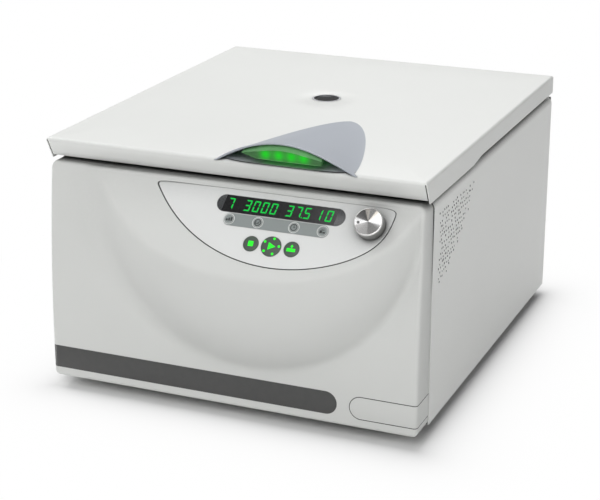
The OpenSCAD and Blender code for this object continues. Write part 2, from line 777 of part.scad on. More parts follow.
// Lid
function side_outline(t) = let (
        r = lid_edge_r - t,
        yf = lid_front_y + t,
        yb = lid_back_y - t,
        zt = lid_z1 - t,
        slope = apron_slope / lid_skirt
    ) concat(
        [[yf + slope * (zt - lid_z0 + 20), lid_z0 - 20]],
        arc_points([yf + r, zt - r], r, 180, 90, 5),
        arc_points([yb - r, zt - r], r, 90, 0, 5),
        [[yb, lid_z0 - 20]]);
function front_outline(t) = let (
        r = lid_edge_r - t,
        xs = lid_w / 2 - t,
        zt = lid_z1 - t
    ) concat(
        [[-xs, lid_z0 - 20]],
        arc_points([-xs + r, zt - r], r, 180, 90, 5),
        arc_points([xs - r, zt - r], r, 90, 0, 5),
        [[xs, lid_z0 - 20]]);
module lid_form(t) {
    intersection() {
        translate([-lid_w, 0, 0]) rotate([90, 0, 90]) linear_extrude(2 * lid_w) polygon(side_outline(t));
        translate([0, 2 * cabinet_d, 0]) rotate([90, 0, 0]) linear_extrude(3 * cabinet_d) polygon(front_outline(t));
    }
}

skirt_drop = 4.7;
jog_y0 = 212;
jog_y1 = 248;
module skirt_cut() {
    translate([-lid_w, 0, 0]) rotate([90, 0, 90]) linear_extrude(2 * lid_w) polygon([
        [-50, lid_z0 - 60], [-50, lid_z0], [lid_front_y + apron_slope + sheet_t + 0.6, lid_z0],
        [lid_front_y + apron_slope + sheet_t + 0.6, lid_z0 - skirt_drop],
        [jog_y0, lid_z0 - skirt_drop], [jog_y1, lid_z0], [cabinet_d + 50, lid_z0],
        [cabinet_d + 50, lid_z0 - 60]
    ]);
}

module lid_shell() {
    color("white") place() difference() {
        lid_form(0);
        lid_form(sheet_t);
        skirt_cut();
        for (s = [-1, 1]) translate([s * (lid_w / 2 - sheet_t - corner_slit / 2), lid_front_y, lid_z0])
            cube([corner_slit, 2 * (apron_slope + sheet_t) + 4, 2 * (lid_skirt - lid_edge_r + 1)], center = true);
        translate([0, axis_y, lid_z1 - 10]) cylinder(d = port_d + 6, h = 20);
    }
}

liner_x = lid_w / 2 - 13;
liner_y0 = lid_front_y + 31.7;
liner_y1 = lid_back_y - 15.3;
module lid_liner() {
    color("gainsboro") place() difference() {
        box(-liner_x, liner_x, liner_y0, liner_y1, liner_z, lid_inner_z);
        box(-liner_x + sheet_t, liner_x - sheet_t, liner_y0 + sheet_t, liner_y1 - sheet_t,
            liner_z + sheet_t, lid_inner_z + 1);
        translate([0, axis_y, liner_z - 5]) cylinder(d = port_d + 6, h = 20);
    }
}

module sight_ring() {
    r = port_d / 2;
    color("silver") on_axis() rotate_extrude($fn = 96) polygon([
        [r, liner_z - 1], [r + 6, liner_z - 1], [r + 6, liner_z], [r + 3, liner_z],
        [r + 3, lid_z1 + 0.4], [r + 0.8, lid_z1 + 0.4], [r + 0.8, lid_z1 - 4], [r, lid_z1 - 4]
    ]);
}

module sight_glass() {
    r = port_d / 2;
    color("#505354") on_axis() translate([0, 0, lid_z1 - 4]) cylinder(r = r + 0.8, h = 3, $fn = 96);
}

// Handle: a hood swept from its mouth to its tail
hood_rows = 14;
hood_cols = 20;
hood_wall = 2.6;
function mouth_y(a) = lid_front_y + 0.7 - hood_over * (1 - pow(abs(a), 4));
function hood_half_at(v) = hood_half * pow(1 - v, 0.6);
function hood_top_at(v) = hood_h * pow(1 - v, 1.25);
function hood_arch(a, v) = hood_top_at(v) * pow(max(0, 1 - a * a), 1.15);
function hood_y(a, v) = mouth_y(a) * (1 - v) + (lid_front_y + 0.7 + hood_len) * v;
function hood_ring(v) = let (w = hood_half_at(v)) concat(
    [for (i = [0:hood_cols]) let (a = 1 - 2 * i / hood_cols)
        [a * w, hood_y(a, v), lid_z1 + hood_arch(a, v)]],
    [for (i = [1:hood_cols - 1]) let (a = -1 + 2 * i / hood_cols, wi = w - min(hood_wall + 1, w / 3))
        [a * wi, hood_y(a, v), lid_z1 + max(0, hood_arch(a, v) - hood_wall)]]);
function hood_inner(i) = i <= 0 || i >= hood_cols ? i : 2 * hood_cols - i;
function hood_end(i, at_tail) = let (
        o0 = i,
        o1 = i + 1,
        i1 = hood_inner(i + 1),
        i0 = hood_inner(i),
        tris = concat(i1 == o1 ? [] : [[o0, i1, o1]], i0 == o0 ? [] : [[o0, i0, i1]])
    ) [for (t = tris) at_tail ? [t[2], t[1], t[0]] : t];
module handle_hood() {
    rings = [for (j = [0:hood_rows]) hood_ring(0.965 * pow(j / hood_rows, 0.8))];
    cols = len(rings[0]);
    last = hood_rows * cols;
    sides = [for (r = [0:hood_rows - 1]) for (c = [0:cols - 1]) for (half = [0, 1])
        let (a = r * cols + c, b = r * cols + (c + 1) % cols)
        half == 0 ? [a, b, b + cols] : [a, b + cols, a + cols]];
    mouth = [for (i = [0:hood_cols - 1]) for (t = hood_end(i, false)) t];
    tail = [for (i = [0:hood_cols - 1]) for (t = hood_end(i, true)) t + [last, last, last]];
    color("#aeb3ba") place() translate([controls_x, 0, 0])
        polyhedron([for (ring = rings) for (p = ring) p], concat(sides, mouth, tail));
}

base_depth = 46;
base_h = 1;
module handle_base() {
    color("#8d9298") place() translate([controls_x, 0, lid_z1]) linear_extrude(base_h) polygon(concat(
        [for (i = [0:12]) let (a = -1 + i / 6, w = hood_half_at(0) - 12)
            [a * w, lid_front_y + 5 - 0.7]],
        [for (i = [0:12]) let (a = 1 - i / 6, w = hood_half_at(base_depth / hood_len) - 12)
            [a * w, lid_front_y + base_depth]]));
}

lens_half = 54;
lens_low = 9;
lens_deep = 11;
lens_v = 0.06;
module handle_lens() {
    w = hood_half_at(lens_v) - hood_wall - 1;
    color([0.2, 0.75, 0.25, 0.8]) place() translate([controls_x, lens_deep, lid_z1]) rotate([90, 0, 0])
        linear_extrude(lens_deep) polygon(concat(
            [for (i = [0:20]) let (x = lens_half * (1 - i / 10))
                [x, max(lens_low + 0.6, hood_arch(x / w, lens_v) - hood_wall - part_gap)]],
            [[-lens_half, lens_low], [lens_half, lens_low]]));
}

module led_bar() {
    color("#4bd24b") place() translate([controls_x, lens_deep + 2, lid_z1 + 17.5])
        cube([76, 4, 6], center = true);
}

loop_w = 18;
loop_drop = 29;
loop_bar = 4;
loop_open = 13;
module lid_striker() {
    color("silver") place() translate([controls_x, striker_y, 0]) difference() {
        box(-loop_w / 2, loop_w / 2, -2, 2, liner_z - loop_drop, liner_z);
        box(-loop_w / 2 + loop_bar, loop_w / 2 - loop_bar, -5, 5,
            liner_z - loop_drop + loop_bar, liner_z - loop_drop + loop_bar + loop_open);
    }
}

// Rear hinges: knuckles on the cabinet, a middle knuckle on the lid
knuckle = 16;
knuckle_gap = 0.4;
pin_r = 3;
pin_clear = 0.05;
module hinge_pair() {
    place() for (s = [-1, 1]) translate([s * hinge_x, hinge_y, hinge_z]) rotate([0, 90, 0]) children();
}

module hinge_cabinet() {
    color("silver") difference() {
        place() for (s = [-1, 1]) for (k = [-1, 1]) translate([s * hinge_x + k * (knuckle + knuckle_gap), 0, 0]) {
            translate([-knuckle / 2, hinge_y, hinge_z]) rotate([0, 90, 0]) cylinder(r = hinge_r, h = knuckle);
            box(-knuckle / 2, knuckle / 2, cabinet_d, cabinet_d + 3, hinge_z - 44, hinge_z - 2);
        }
        hinge_pair() cylinder(r = pin_r, h = 80, center = true, $fn = 48);
    }
}

module hinge_lid() {
    color("silver") difference() {
        place() for (s = [-1, 1]) translate([s * hinge_x, 0, 0]) {
            translate([-knuckle / 2, hinge_y, hinge_z]) rotate([0, 90, 0]) cylinder(r = hinge_r, h = knuckle);
            box(-knuckle / 2, knuckle / 2, lid_back_y, lid_back_y + 3.6, hinge_z, lid_z1 - 5);
        }
        hinge_pair() cylinder(r = pin_r + pin_clear, h = 80, center = true, $fn = 48);
    }
}

module hinge_pins() {
    color("gray") hinge_pair() cylinder(r = pin_r, h = 3 * knuckle + 2 * knuckle_gap, center = true, $fn = 48);
}

// Latch under the deck
latch_z1 = deck_z - sheet_t;
latch_h = 58;
latch_w = 44;
latch_y0 = striker_y - 10;
latch_y1 = striker_y + 34;
hook_y = striker_y + 20;
hook_z = latch_z1 - 43;
module latch_housing() {
    color("#3c3f43") place() translate([controls_x, 0, 0]) difference() {
        box(-latch_w / 2, latch_w / 2, latch_y0, latch_y1, latch_z1 - latch_h, latch_z1);
        box(-latch_w / 2 + 4, latch_w / 2 - 4, latch_y0 + 4, latch_y1 - 4, latch_z1 - latch_h + 4, latch_z1 + 1);
        translate([0, hook_y, hook_z]) rotate([0, 90, 0]) cylinder(r = pin_r, h = 2 * latch_w, center = true, $fn = 48);
    }
}

module latch_pin() {
    color("gray") place() translate([controls_x, hook_y, hook_z]) rotate([0, 90, 0])
        cylinder(r = pin_r, h = latch_w, center = true, $fn = 48);
}

hook_w = 8;
module latch_hook() {
    color("silver") place() translate([controls_x - hook_w / 2, hook_y, hook_z]) rotate([90, 0, 90])
        difference() {
            union() {
                cylinder(r = 7, h = hook_w);
                linear_extrude(hook_w)
                    polygon([[-5, 0], [-5, 35], [-12, 38], [-12, 41], [2, 41], [6, 30], [6, 0]]);
            }
            translate([0, 0, -1]) cylinder(r = pin_r + pin_clear, h = hook_w + 2, $fn = 48);
        }
}

// Rear fittings
module power_inlet() {
    color("#202020") place() translate([inlet_x, cabinet_d, power_z]) difference() {
        union() {
            box(-13.8, 13.8, -22, 0, -10.2, 10.2);
            box(-17, 17, 0, 2.5, -13.5, 13.5);
        }
        box(-12, 12, -17, 3, -8, 8);
    }
    color("silver") place() translate([inlet_x, cabinet_d, power_z]) for (x = [-7, 0, 7])
        box(x - 1, x + 1, -17, -3, x == 0 ? 1 : -4, x == 0 ? 5 : 0);
}

module rocker_frame() {
    color("#202020") place() translate([rocker_x, cabinet_d, power_z]) difference() {
        union() {
            box(-9.6, 9.6, -16, 0, -6.6, 6.6);
            box(-12, 12, 0, 2, -9, 9);
        }
        box(-8, 8, -14, 3, -5, 5);
    }
}

rocker_half = 6.9;
rocker_tip = 8;
module power_rocker() {
    color("#8e1f1f") place() translate([rocker_x, cabinet_d - 5, power_z]) rotate(-rocker_tip)
        linear_extrude(9.4, center = true) polygon([
            [-rocker_half, -4], [rocker_half, -4], [rocker_half, 6], [0, 5], [-rocker_half, 6]
        ]);
}

fan_hub = 20;
fan_deep = 25;
fan_back = 4;
fan_run = 3;
blade_tip = fan_d / 2 - 6;
module fan_impeller() {
    color("#3a3d40") place() translate([fan_x, cabinet_d - sheet_t - fan_run, fan_z]) rotate([90, 0, 0]) {
        cylinder(r = fan_hub, h = fan_deep - fan_back - fan_run - part_gap);
        for (i = [0:6]) rotate(360 * i / 7) translate([(fan_hub + blade_tip) / 2 - 1, 0, 8])
            rotate([35, 0, 0]) cube([blade_tip - fan_hub + 2, 22, 1.6], center = true);
    }
}

module cooling_fan() {
    h = fan_deep;
    color("#2b2b2b") place() translate([fan_x, cabinet_d - sheet_t, fan_z]) rotate([90, 0, 0]) difference() {
        translate([-fan_d / 2, -fan_d / 2, 0]) cube([fan_d, fan_d, h]);
        translate([0, 0, -1]) cylinder(r = fan_d / 2 - 4, h = h - fan_back + 1);
        difference() {
            cylinder(r = fan_d / 2 - 4, h = h + 1);
            cylinder(r = fan_hub + 2, h = h + 1);
            for (a = [0, 90]) rotate(a) translate([-fan_d, -4, 0]) cube([2 * fan_d, 8, h + 1]);
        }
    }
}

screw_x = side_x - 24;
screw_spots = [for (x = [-screw_x, screw_x]) for (z = [40, cabinet_h / 2, cabinet_h - 35]) [x, z]];
module rear_screws() {
    color("silver") place() for (p = screw_spots) translate([p[0], cabinet_d, p[1]]) rotate([-90, 0, 0])
        difference() {
            cylinder(r = 4, h = 2, $fn = 32);
            translate([0, 0, 1]) cylinder(r = 1.6, h = 2, $fn = 6);
        }
}

base_tray();
feet();
side_panel_left();
side_panel_right();
rear_panel();
front_moulding();
trim_band();
corner_cover();
top_deck();
bowl();
bowl_gasket();
heater_band();
control_panel();
display_window();
display_module();
key_strip();
circuit_board();
key_switches();
encoder();
knob();
knob_shaft();
stop_key();
start_key();
lid_key();
select_key_1();
select_key_2();
select_key_3();
select_key_4();
motor();
motor_plate();
rubber_mounts();
drive_shaft();
rotor_carrier();
rotor_rim();
rotor_sleeves();
sleeve_pads();
rotor_clamp_ring();
rotor_pillars();
rotor_nut();
lid_shell();
lid_liner();
handle_hood();
handle_base();
handle_lens();
led_bar();
sight_ring();
sight_glass();
lid_striker();
hinge_cabinet();
hinge_lid();
hinge_pins();
latch_housing();
latch_hook();
latch_pin();
power_inlet();
rocker_frame();
power_rocker();
cooling_fan();
fan_impeller();
rear_screws();
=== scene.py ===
"""Looks of the bench butterfat centrifuge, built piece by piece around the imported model."""

import json
from math import acos, cos, pi, radians, sin, sqrt, tan

import bmesh
import bpy
import numpy as np
from bpy.props import FloatProperty, FloatVectorProperty, PointerProperty
from bpy.types import Operator, Panel, PropertyGroup
from mathutils import Matrix, Vector
from mathutils.geometry import tessellate_polygon


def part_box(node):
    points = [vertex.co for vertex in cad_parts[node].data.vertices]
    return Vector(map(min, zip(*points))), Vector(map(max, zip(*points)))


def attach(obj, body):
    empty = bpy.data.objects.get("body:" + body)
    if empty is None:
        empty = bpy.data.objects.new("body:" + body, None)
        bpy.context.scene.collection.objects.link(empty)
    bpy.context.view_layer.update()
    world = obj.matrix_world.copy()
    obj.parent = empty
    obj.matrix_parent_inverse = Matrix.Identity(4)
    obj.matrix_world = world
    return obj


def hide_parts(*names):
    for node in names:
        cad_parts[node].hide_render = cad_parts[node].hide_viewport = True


bl_info = {
    "name": "Butterfat centrifuge",
    "version": (1, 0, 0),
    "blender": (4, 5, 0),
    "location": "3D View > Sidebar > Centrifuge",
    "description": "Builds the outside, the controls and the finishes of a bench butterfat centrifuge",
    "category": "Add Mesh",
}

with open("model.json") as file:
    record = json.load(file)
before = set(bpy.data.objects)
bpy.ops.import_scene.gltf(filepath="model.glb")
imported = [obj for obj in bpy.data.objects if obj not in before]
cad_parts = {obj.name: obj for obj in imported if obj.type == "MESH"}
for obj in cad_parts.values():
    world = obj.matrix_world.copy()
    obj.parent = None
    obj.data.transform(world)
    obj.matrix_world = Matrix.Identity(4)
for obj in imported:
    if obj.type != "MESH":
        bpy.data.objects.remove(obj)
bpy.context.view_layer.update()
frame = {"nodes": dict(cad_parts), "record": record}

MM = 0.001
CABINET_HALF, CABINET_DEPTH, CABINET_HEIGHT = 274.0, 630.0, 315.0
FRONT_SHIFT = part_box("rear_panel")[1].y / MM - CABINET_DEPTH
BASE_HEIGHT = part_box("base_tray")[0].z / MM


def place(x, y, z):
    """Row-frame point, in metres, of a point in millimetres from the middle of the flat lower front."""
    return Vector((x * MM, (y + FRONT_SHIFT) * MM, (z + BASE_HEIGHT) * MM))


def in_row(shape):
    """The same for a shape, which is a pair of points and faces."""
    points, faces = shape
    return (points + (0, FRONT_SHIFT, BASE_HEIGHT)) * MM, faces


# Sizes and colours that a user would change

class CENTRIFUGE_PG_front(PropertyGroup):
    """Sizes of the moulded front"""
    belly_depth: FloatProperty(name="Belly depth", description="How far the belly stands out at its middle",
                               default=0.076, unit="LENGTH")
    ridge_softness: FloatProperty(name="Ridge softness", default=0.006, unit="LENGTH",
                                  description="Rounding where the panel's slope meets the belly")
    crease_softness: FloatProperty(name="Crease softness", default=0.006, unit="LENGTH",
                                   description="Rounding where the belly meets the flat front")
    groove: FloatProperty(name="Panel groove", description="Width of the groove round the control panel",
                          default=0.0013, unit="LENGTH")


class CENTRIFUGE_PG_paint(PropertyGroup):
    """Colours of the finishes"""
    lid: FloatVectorProperty(name="Lid", description="Powder coat of the lid", subtype="COLOR",
                             size=3, default=(0.80, 0.81, 0.79), min=0, max=1)
    cabinet: FloatVectorProperty(name="Cabinet", description="Powder coat of the side and rear panels", subtype="COLOR",
                                 size=3, default=(0.84, 0.85, 0.83), min=0, max=1)
    front: FloatVectorProperty(name="Front", description="Plastic of the moulded front", subtype="COLOR",
                               size=3, default=(0.71, 0.72, 0.70), min=0, max=1)
    band: FloatVectorProperty(name="Trim band", description="Dark band along the foot of the front", subtype="COLOR",
                              size=3, default=(0.075, 0.075, 0.074), min=0, max=1)
    handle: FloatVectorProperty(name="Handle", description="Blue-grey plastic of the lid's handle", subtype="COLOR",
                                size=3, default=(0.44, 0.47, 0.52), min=0, max=1)
    glow: FloatVectorProperty(name="Display light", description="Green of the digits on the display", subtype="COLOR",
                              size=3, default=(0.004, 0.75, 0.08), min=0, max=1)


class CENTRIFUGE_PG_stage(PropertyGroup):
    """Light and floor"""
    sky: FloatProperty(name="Room light", description="Even light from all round", default=0.176, min=0)
    front: FloatProperty(name="Front lamp", description="Power of the high lamp in front", default=50.0, min=0)
    left: FloatProperty(name="Left lamp", description="Power of the high lamp at the left", default=52.0, min=0)
    back: FloatProperty(name="Rear lamp", description="Power of the high lamp behind", default=42.0, min=0)
    low: FloatProperty(name="Fill lamp", description="Power of the lower lamp at the front right", default=13.7, min=0)
    right: FloatProperty(name="Right lamp", description="Power of the lamp at the right", default=6.6, min=0)
    # Reach of the painted white that lifts the floor's shadow away from the cabinet
    reach: FloatProperty(name="Shadow reach", description="Distance over which the floor's shadow fades to white",
                         default=0.024, min=0.001, unit="LENGTH")


# Mesh tools

def add_piece(name, shape, material, body, replaced=(), sharp=35, matrix=None):
    """A mesh piece, smooth but for its sharp edges, that rides on a body and stands for its CAD nodes."""
    points, faces = shape
    mesh = bpy.data.meshes.new(name)
    mesh.from_pydata([tuple(p) for p in points], [], [tuple(int(i) for i in f) for f in faces])
    mesh.update()
    mesh.validate()
    mesh.shade_smooth()
    mesh.set_sharp_from_angle(angle=radians(sharp))
    piece = bpy.data.objects.new(name, mesh)
    bpy.context.scene.collection.objects.link(piece)
    if matrix is not None:
        piece.matrix_world = matrix
    mesh.materials.append(material)
    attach(piece, body)
    if replaced:
        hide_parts(*replaced)
    return piece


def close_seams(piece, sharp):
    """Joins points that lie on each other, and turns the faces outwards."""
    solid = bmesh.new()
    solid.from_mesh(piece.data)
    bmesh.ops.remove_doubles(solid, verts=solid.verts, dist=1e-6)
    bmesh.ops.recalc_face_normals(solid, faces=solid.faces)
    solid.to_mesh(piece.data)
    solid.free()
    piece.data.set_sharp_from_angle(angle=radians(sharp))


def loft(rings, wrap_rows=False, wrap_cols=True, start_cap=False, end_cap=False):
    """Skin over rings with the same count of points."""
    rings = [np.asarray(r, float) for r in rings]
    rows, cols = len(rings), len(rings[0])
    faces = []
    for r in range(rows if wrap_rows else rows - 1):
        a, b = r * cols, ((r + 1) % rows) * cols
        for c in range(cols if wrap_cols else cols - 1):
            d = (c + 1) % cols
            faces.append((a + c, b + c, b + d, a + d))
    if start_cap:
        faces.append(tuple(range(cols)))
    if end_cap:
        faces.append(tuple(reversed(range((rows - 1) * cols, rows * cols))))
    return np.concatenate(rings), faces


def join_parts(*parts):
    """One shape out of several."""
    points, faces, first = [], [], 0
    for p, f in parts:
        points.append(p)
        faces += [tuple(i + first for i in face) for face in f]
        first += len(p)
    return np.concatenate(points), faces


def at_height(outline, z):
    """A flat outline as a ring at one height."""
    return np.c_[outline, np.full(len(outline), float(z))]


def quarter(steps):
    """Angles of a quarter turn."""
    return np.linspace(0, pi / 2, steps)


def stadium(width, height, steps):
    """Outline with round ends, anticlockwise, about its middle."""
    r = height / 2
    cx = width / 2 - r
    right = [(cx + r * cos(a), r * sin(a)) for a in np.linspace(-pi / 2, pi / 2, steps)]
    left = [(-cx + r * cos(a), r * sin(a)) for a in np.linspace(pi / 2, 3 * pi / 2, steps)]
    return np.array(right + left)


def circle(r, steps, centre=(0, 0)):
    """Circle as an anticlockwise outline."""
    a = np.linspace(0, 2 * pi, steps, endpoint=False)
    return np.stack([centre[0] + r * np.cos(a), centre[1] + r * np.sin(a)], 1)


def inset(outline, d):
    """A closed outline moved in by d along its corners' normals."""
    p = np.asarray(outline, float)
    before, after = np.roll(p, 1, 0), np.roll(p, -1, 0)
    t0 = (p - before) / np.maximum(np.linalg.norm(p - before, axis=1), 1e-9)[:, None]
    t1 = (after - p) / np.maximum(np.linalg.norm(after - p, axis=1), 1e-9)[:, None]
    n = np.stack([-(t0 + t1)[:, 1], (t0 + t1)[:, 0]], 1)
    n /= np.maximum(np.linalg.norm(n, axis=1), 1e-9)[:, None]
    scale = 1 / np.maximum((n * np.stack([-t0[:, 1], t0[:, 0]], 1)).sum(1), 0.3)
    return p + n * (d * scale)[:, None]


def plate_side(outline, z0, z1, edge):
    """Rings up the side of a plate and over its rounded upper edge."""
    rings = [at_height(outline, z0)]
    for a in quarter(4):
        rings.append(at_height(inset(outline, edge * (1 - cos(a))), z1 - edge + edge * sin(a)))
    return rings


def plate(outline, z0, z1, edge):
    """Plate on an outline, with a rounded upper edge."""
    return loft(plate_side(outline, z0, z1, edge), start_cap=True, end_cap=True)


def pierced(outline, holes, z0, z1, edge):
    """The same plate with straight round holes, given as (x, y, radius)."""
    rings = plate_side(outline, z0, z1, edge)
    rings.append(at_height(inset(outline, edge + 0.4), z1))
    rims = [circle(r, 48, (x, y)) for x, y, r in holes]
    parts = [loft(rings)]
    for ring in (rings[-1], rings[0]):
        loops = [ring[:, :2]] + rims
        faces = tessellate_polygon([[Vector((*q, 0)) for q in loop] for loop in loops])
        parts.append((at_height(np.concatenate(loops), ring[0, 2]), faces))
    parts += [loft([at_height(rim, z) for z in (z0, z1)]) for rim in rims]
    return join_parts(*parts)


def turned(profile, steps):
    """Body turned about the z axis from (radius, height) pairs that start and end on the axis."""
    rings = [at_height(circle(r, steps), z) for r, z in profile]
    return loft(rings, start_cap=profile[0][0] > 1e-6, end_cap=profile[-1][0] > 1e-6)


def rounded(r, z, bevel, steps):
    """Profile of the rounded upper edge of a turned body of radius r that ends at height z."""
    return [(r - bevel * (1 - cos(a)), z - bevel + bevel * sin(a)) for a in quarter(steps)[1:]]


# Finishes

def feed(tree, socket, value):
    """Links another node's output to a socket, or sets the socket to a plain value."""
    if isinstance(value, bpy.types.NodeSocket):
        tree.links.new(value, socket)
    else:
        socket.default_value = value


def node(tree, kind, output, inputs=(), **settings):
    """Adds a shader node with its settings and inputs, and gives one of its outputs."""
    n = tree.nodes.new("ShaderNode" + kind)
    for key, value in settings.items():
        setattr(n, key, value)
    for key, value in dict(inputs).items():
        feed(tree, n.inputs[key], value)
    return n.outputs[output]


def node_math(tree, operation, *values):
    """A maths node over outputs or numbers."""
    return node(tree, "Math", "Value", enumerate(values), operation=operation)


def finish(name, colour, roughness, metallic=0.0, **sockets):
    """A new material, with its node tree and its surface shader."""
    material = bpy.data.materials.new(name)
    material.use_nodes = True
    tree = material.node_tree
    surface = surface_of(tree)
    surface.inputs["Base Color"].default_value = (*colour, 1)
    surface.inputs["Roughness"].default_value = roughness
    surface.inputs["Metallic"].default_value = metallic
    for key, value in sockets.items():
        surface.inputs[key.replace("_", " ")].default_value = value
    return material, tree, surface


def surface_of(tree):
    """The surface shader of a material's node tree."""
    return next(n for n in tree.nodes if n.type == "BSDF_PRINCIPLED")


def noise(tree, scale, detail=3.0, roughness=0.5, stretch=(1, 1, 1)):
    """Noise over the piece's own space, counted in waves a metre."""
    at = node(tree, "Mapping", "Vector", {"Vector": node(tree, "TexCoord", "Object"), "Scale": stretch})
    return node(tree, "TexNoise", "Fac", {"Vector": at, "Scale": scale, "Detail": detail, "Roughness": roughness})


def axes(tree, kind="Object"):
    """The x, y and z of a place in the piece's own space, or of its normal."""
    split = node(tree, "SeparateXYZ", "X", {"Vector": node(tree, "TexCoord", kind)}).node
    return [split.outputs[axis] for axis in "XYZ"]


def spread(tree, value, low, high, start=0.3, end=0.7):
    """Maps a value's range from start to end onto low to high."""
    return node(tree, "MapRange", "Result",
                {"Value": value, "From Min": start, "From Max": end, "To Min": low, "To Max": high})


def tint(tree, surface, value, dark, light):
    """Colours the surface between two tones by a value from 0 to 1."""
    tones = node(tree, "ValToRGB", "Color", {"Fac": value})
    for stop, tone in zip(tones.node.color_ramp.elements, (dark, light)):
        stop.color = (*tone, 1)
    feed(tree, surface.inputs["Base Color"], tones)


def gloss(tree, surface, value, low, high):
    """Varies the roughness between low and high by a value."""
    feed(tree, surface.inputs["Roughness"], spread(tree, value, low, high))


def roughen(tree, surface, height, distance, strength):
    """Bump from a height value; distance in metres."""
    bump = node(tree, "Bump", "Normal", {"Distance": distance, "Strength": strength, "Height": height})
    feed(tree, surface.inputs["Normal"], bump)


def times(tree, colour, level):
    """A colour times a level."""
    return node(tree, "VectorMath", "Vector", {0: colour, "Scale": level}, operation="SCALE")


def dim(tree, surface, level):
    """Multiplies the surface's colour by a level."""
    socket = surface.inputs["Base Color"]
    feed(tree, socket, times(tree, socket.links[0].from_socket, level))


def shade_crevices(tree, surface, reach, depth, above=0.0):
    """Painted shade: darkens the colour where other pieces are within reach; only above a height, so that the floor
    doesn't count.
    """
    near = node(tree, "AmbientOcclusion", "AO", {"Distance": reach}, samples=8)
    loss = spread(tree, near, 1 - depth, 0.0, 0.5, 0.97)
    if above:
        loss = node_math(tree, "MULTIPLY", loss, spread(tree, axes(tree)[2], 0.0, 1.0, above, above + 0.1))
    dim(tree, surface, node_math(tree, "SUBTRACT", 1.0, loss))


def scaled(colour, k):
    """A colour times a number."""
    return tuple(min(1.0, c * k) for c in colour)


def powder_coat(name, colour, roughness=0.42, reach=0.005, above=0.0):
    """Sprayed and baked coat: a faint orange peel and slight unevenness of tone and gloss, with painted shade where
    other pieces are within reach.
    """
    material, tree, surface = finish(name, colour, roughness)
    tint(tree, surface, noise(tree, 9, 4), scaled(colour, 0.985), scaled(colour, 1.012))
    # Painted shade: the coat's colour is darkened where other pieces are within reach
    shade_crevices(tree, surface, reach, 0.1, above)
    gloss(tree, surface, noise(tree, 700, 2), roughness - 0.05, roughness + 0.06)
    roughen(tree, surface, noise(tree, 520, 2, 0.4), 0.00004, 0.35)
    return material


def vented_coat(name, colour, low, high):
    """Powder coat of a side panel, with painted shade: the walls of its vent holes, between two corners of a box, are
    painted nearly black, and above 0.2 m the coat is darkened where other pieces are within reach.
    """
    material = powder_coat(name, colour, reach=0.03, above=0.2)
    tree = material.node_tree
    at = axes(tree)
    wall_shade = node_math(tree, "LESS_THAN", node_math(tree, "ABSOLUTE", axes(tree, "Normal")[0]), 0.7)
    for k in (1, 2):
        for operation, limit in (("GREATER_THAN", low[k]), ("LESS_THAN", high[k])):
            wall_shade = node_math(tree, "MULTIPLY", wall_shade, node_math(tree, operation, at[k], limit))
    # Painted shade: the vent holes' walls are darkened to nearly black
    dim(tree, surface_of(tree), spread(tree, wall_shade, 1.0, 0.03, 0.0, 1.0))
    return material


def fine_moulding(name, colour, roughness=0.46, reach=0.09):
    """Spark-eroded fine grain of a moulded cover, with painted shade where other pieces are within reach, above about
    0.15 m.
    """
    material, tree, surface = finish(name, colour, roughness)
    tint(tree, surface, noise(tree, 12, 3), scaled(colour, 0.99), scaled(colour, 1.01))
    # Painted shade: darker where other pieces are within reach, such as under the lid
    shade_crevices(tree, surface, reach, 0.4, 0.15)
    gloss(tree, surface, noise(tree, 900, 2), roughness - 0.04, roughness + 0.05)
    roughen(tree, surface, noise(tree, 1600, 3, 0.6), 0.00002, 0.3)
    return material


def printed_film(name, colour, reach=0.004):
    """Semi-gloss printed film: nearly even, with a faint ripple of the glue below, and painted shade where other pieces
    are within reach.
    """
    material, tree, surface = finish(name, colour, 0.34)
    tint(tree, surface, noise(tree, 40, 2), scaled(colour, 0.992), scaled(colour, 1.008))
    # Painted shade: the film's colour is darkened where other pieces are within reach
    shade_crevices(tree, surface, reach, 0.3)
    gloss(tree, surface, noise(tree, 500, 2), 0.31, 0.38)
    roughen(tree, surface, noise(tree, 60, 2), 0.00003, 0.25)
    return material


def rubber(name, colour):
    """Matt rubber with a dusty, mottled surface."""
    material, tree, surface = finish(name, colour, 0.8)
    tint(tree, surface, noise(tree, 160, 5), scaled(colour, 0.8), scaled(colour, 1.5))
    roughen(tree, surface, noise(tree, 1400, 4), 0.00006, 0.5)
    return material


def dull_plastic(name, colour, roughness=0.5):
    """Moulded engineering plastic with a fine matt grain."""
    material, tree, surface = finish(name, colour, roughness)
    tint(tree, surface, noise(tree, 90, 4), scaled(colour, 0.9), scaled(colour, 1.12))
    gloss(tree, surface, noise(tree, 600, 2), roughness - 0.07, roughness + 0.08)
    roughen(tree, surface, noise(tree, 1500, 3), 0.00003, 0.4)
    return material


def brushed(name, colour, roughness=0.32, along=(1, 1, 14), depth=0.4):
    """Brushed metal with long fine scratches along one direction."""
    material, tree, surface = finish(name, colour, roughness, 1.0)
    lines = noise(tree, 220, 4, 0.6, along)
    tint(tree, surface, lines, scaled(colour, 0.86), scaled(colour, 1.08))
    gloss(tree, surface, lines, roughness - 0.08, roughness + 0.1)
    roughen(tree, surface, lines, 0.00003, depth)
    return material


def anodised(name, colour):
    """Fine anodised aluminium with a cloudy, silky surface."""
    material, tree, surface = finish(name, colour, 0.38, 1.0)
    tint(tree, surface, noise(tree, 60, 5), scaled(colour, 0.93), scaled(colour, 1.05))
    gloss(tree, surface, noise(tree, 900, 3), 0.33, 0.46)
    roughen(tree, surface, noise(tree, 2200, 3), 0.00001, 0.4)
    return material


def smoked_window(name):
    """Dark window, glossy and faintly mottled."""
    material, tree, surface = finish(name, (0.008, 0.008, 0.009), 0.16, Coat_Weight=0.2, Coat_Roughness=0.08)
    tint(tree, surface, noise(tree, 300, 3), (0.005, 0.005, 0.006), (0.009, 0.009, 0.010))
    gloss(tree, surface, noise(tree, 500, 2), 0.12, 0.22)
    return material


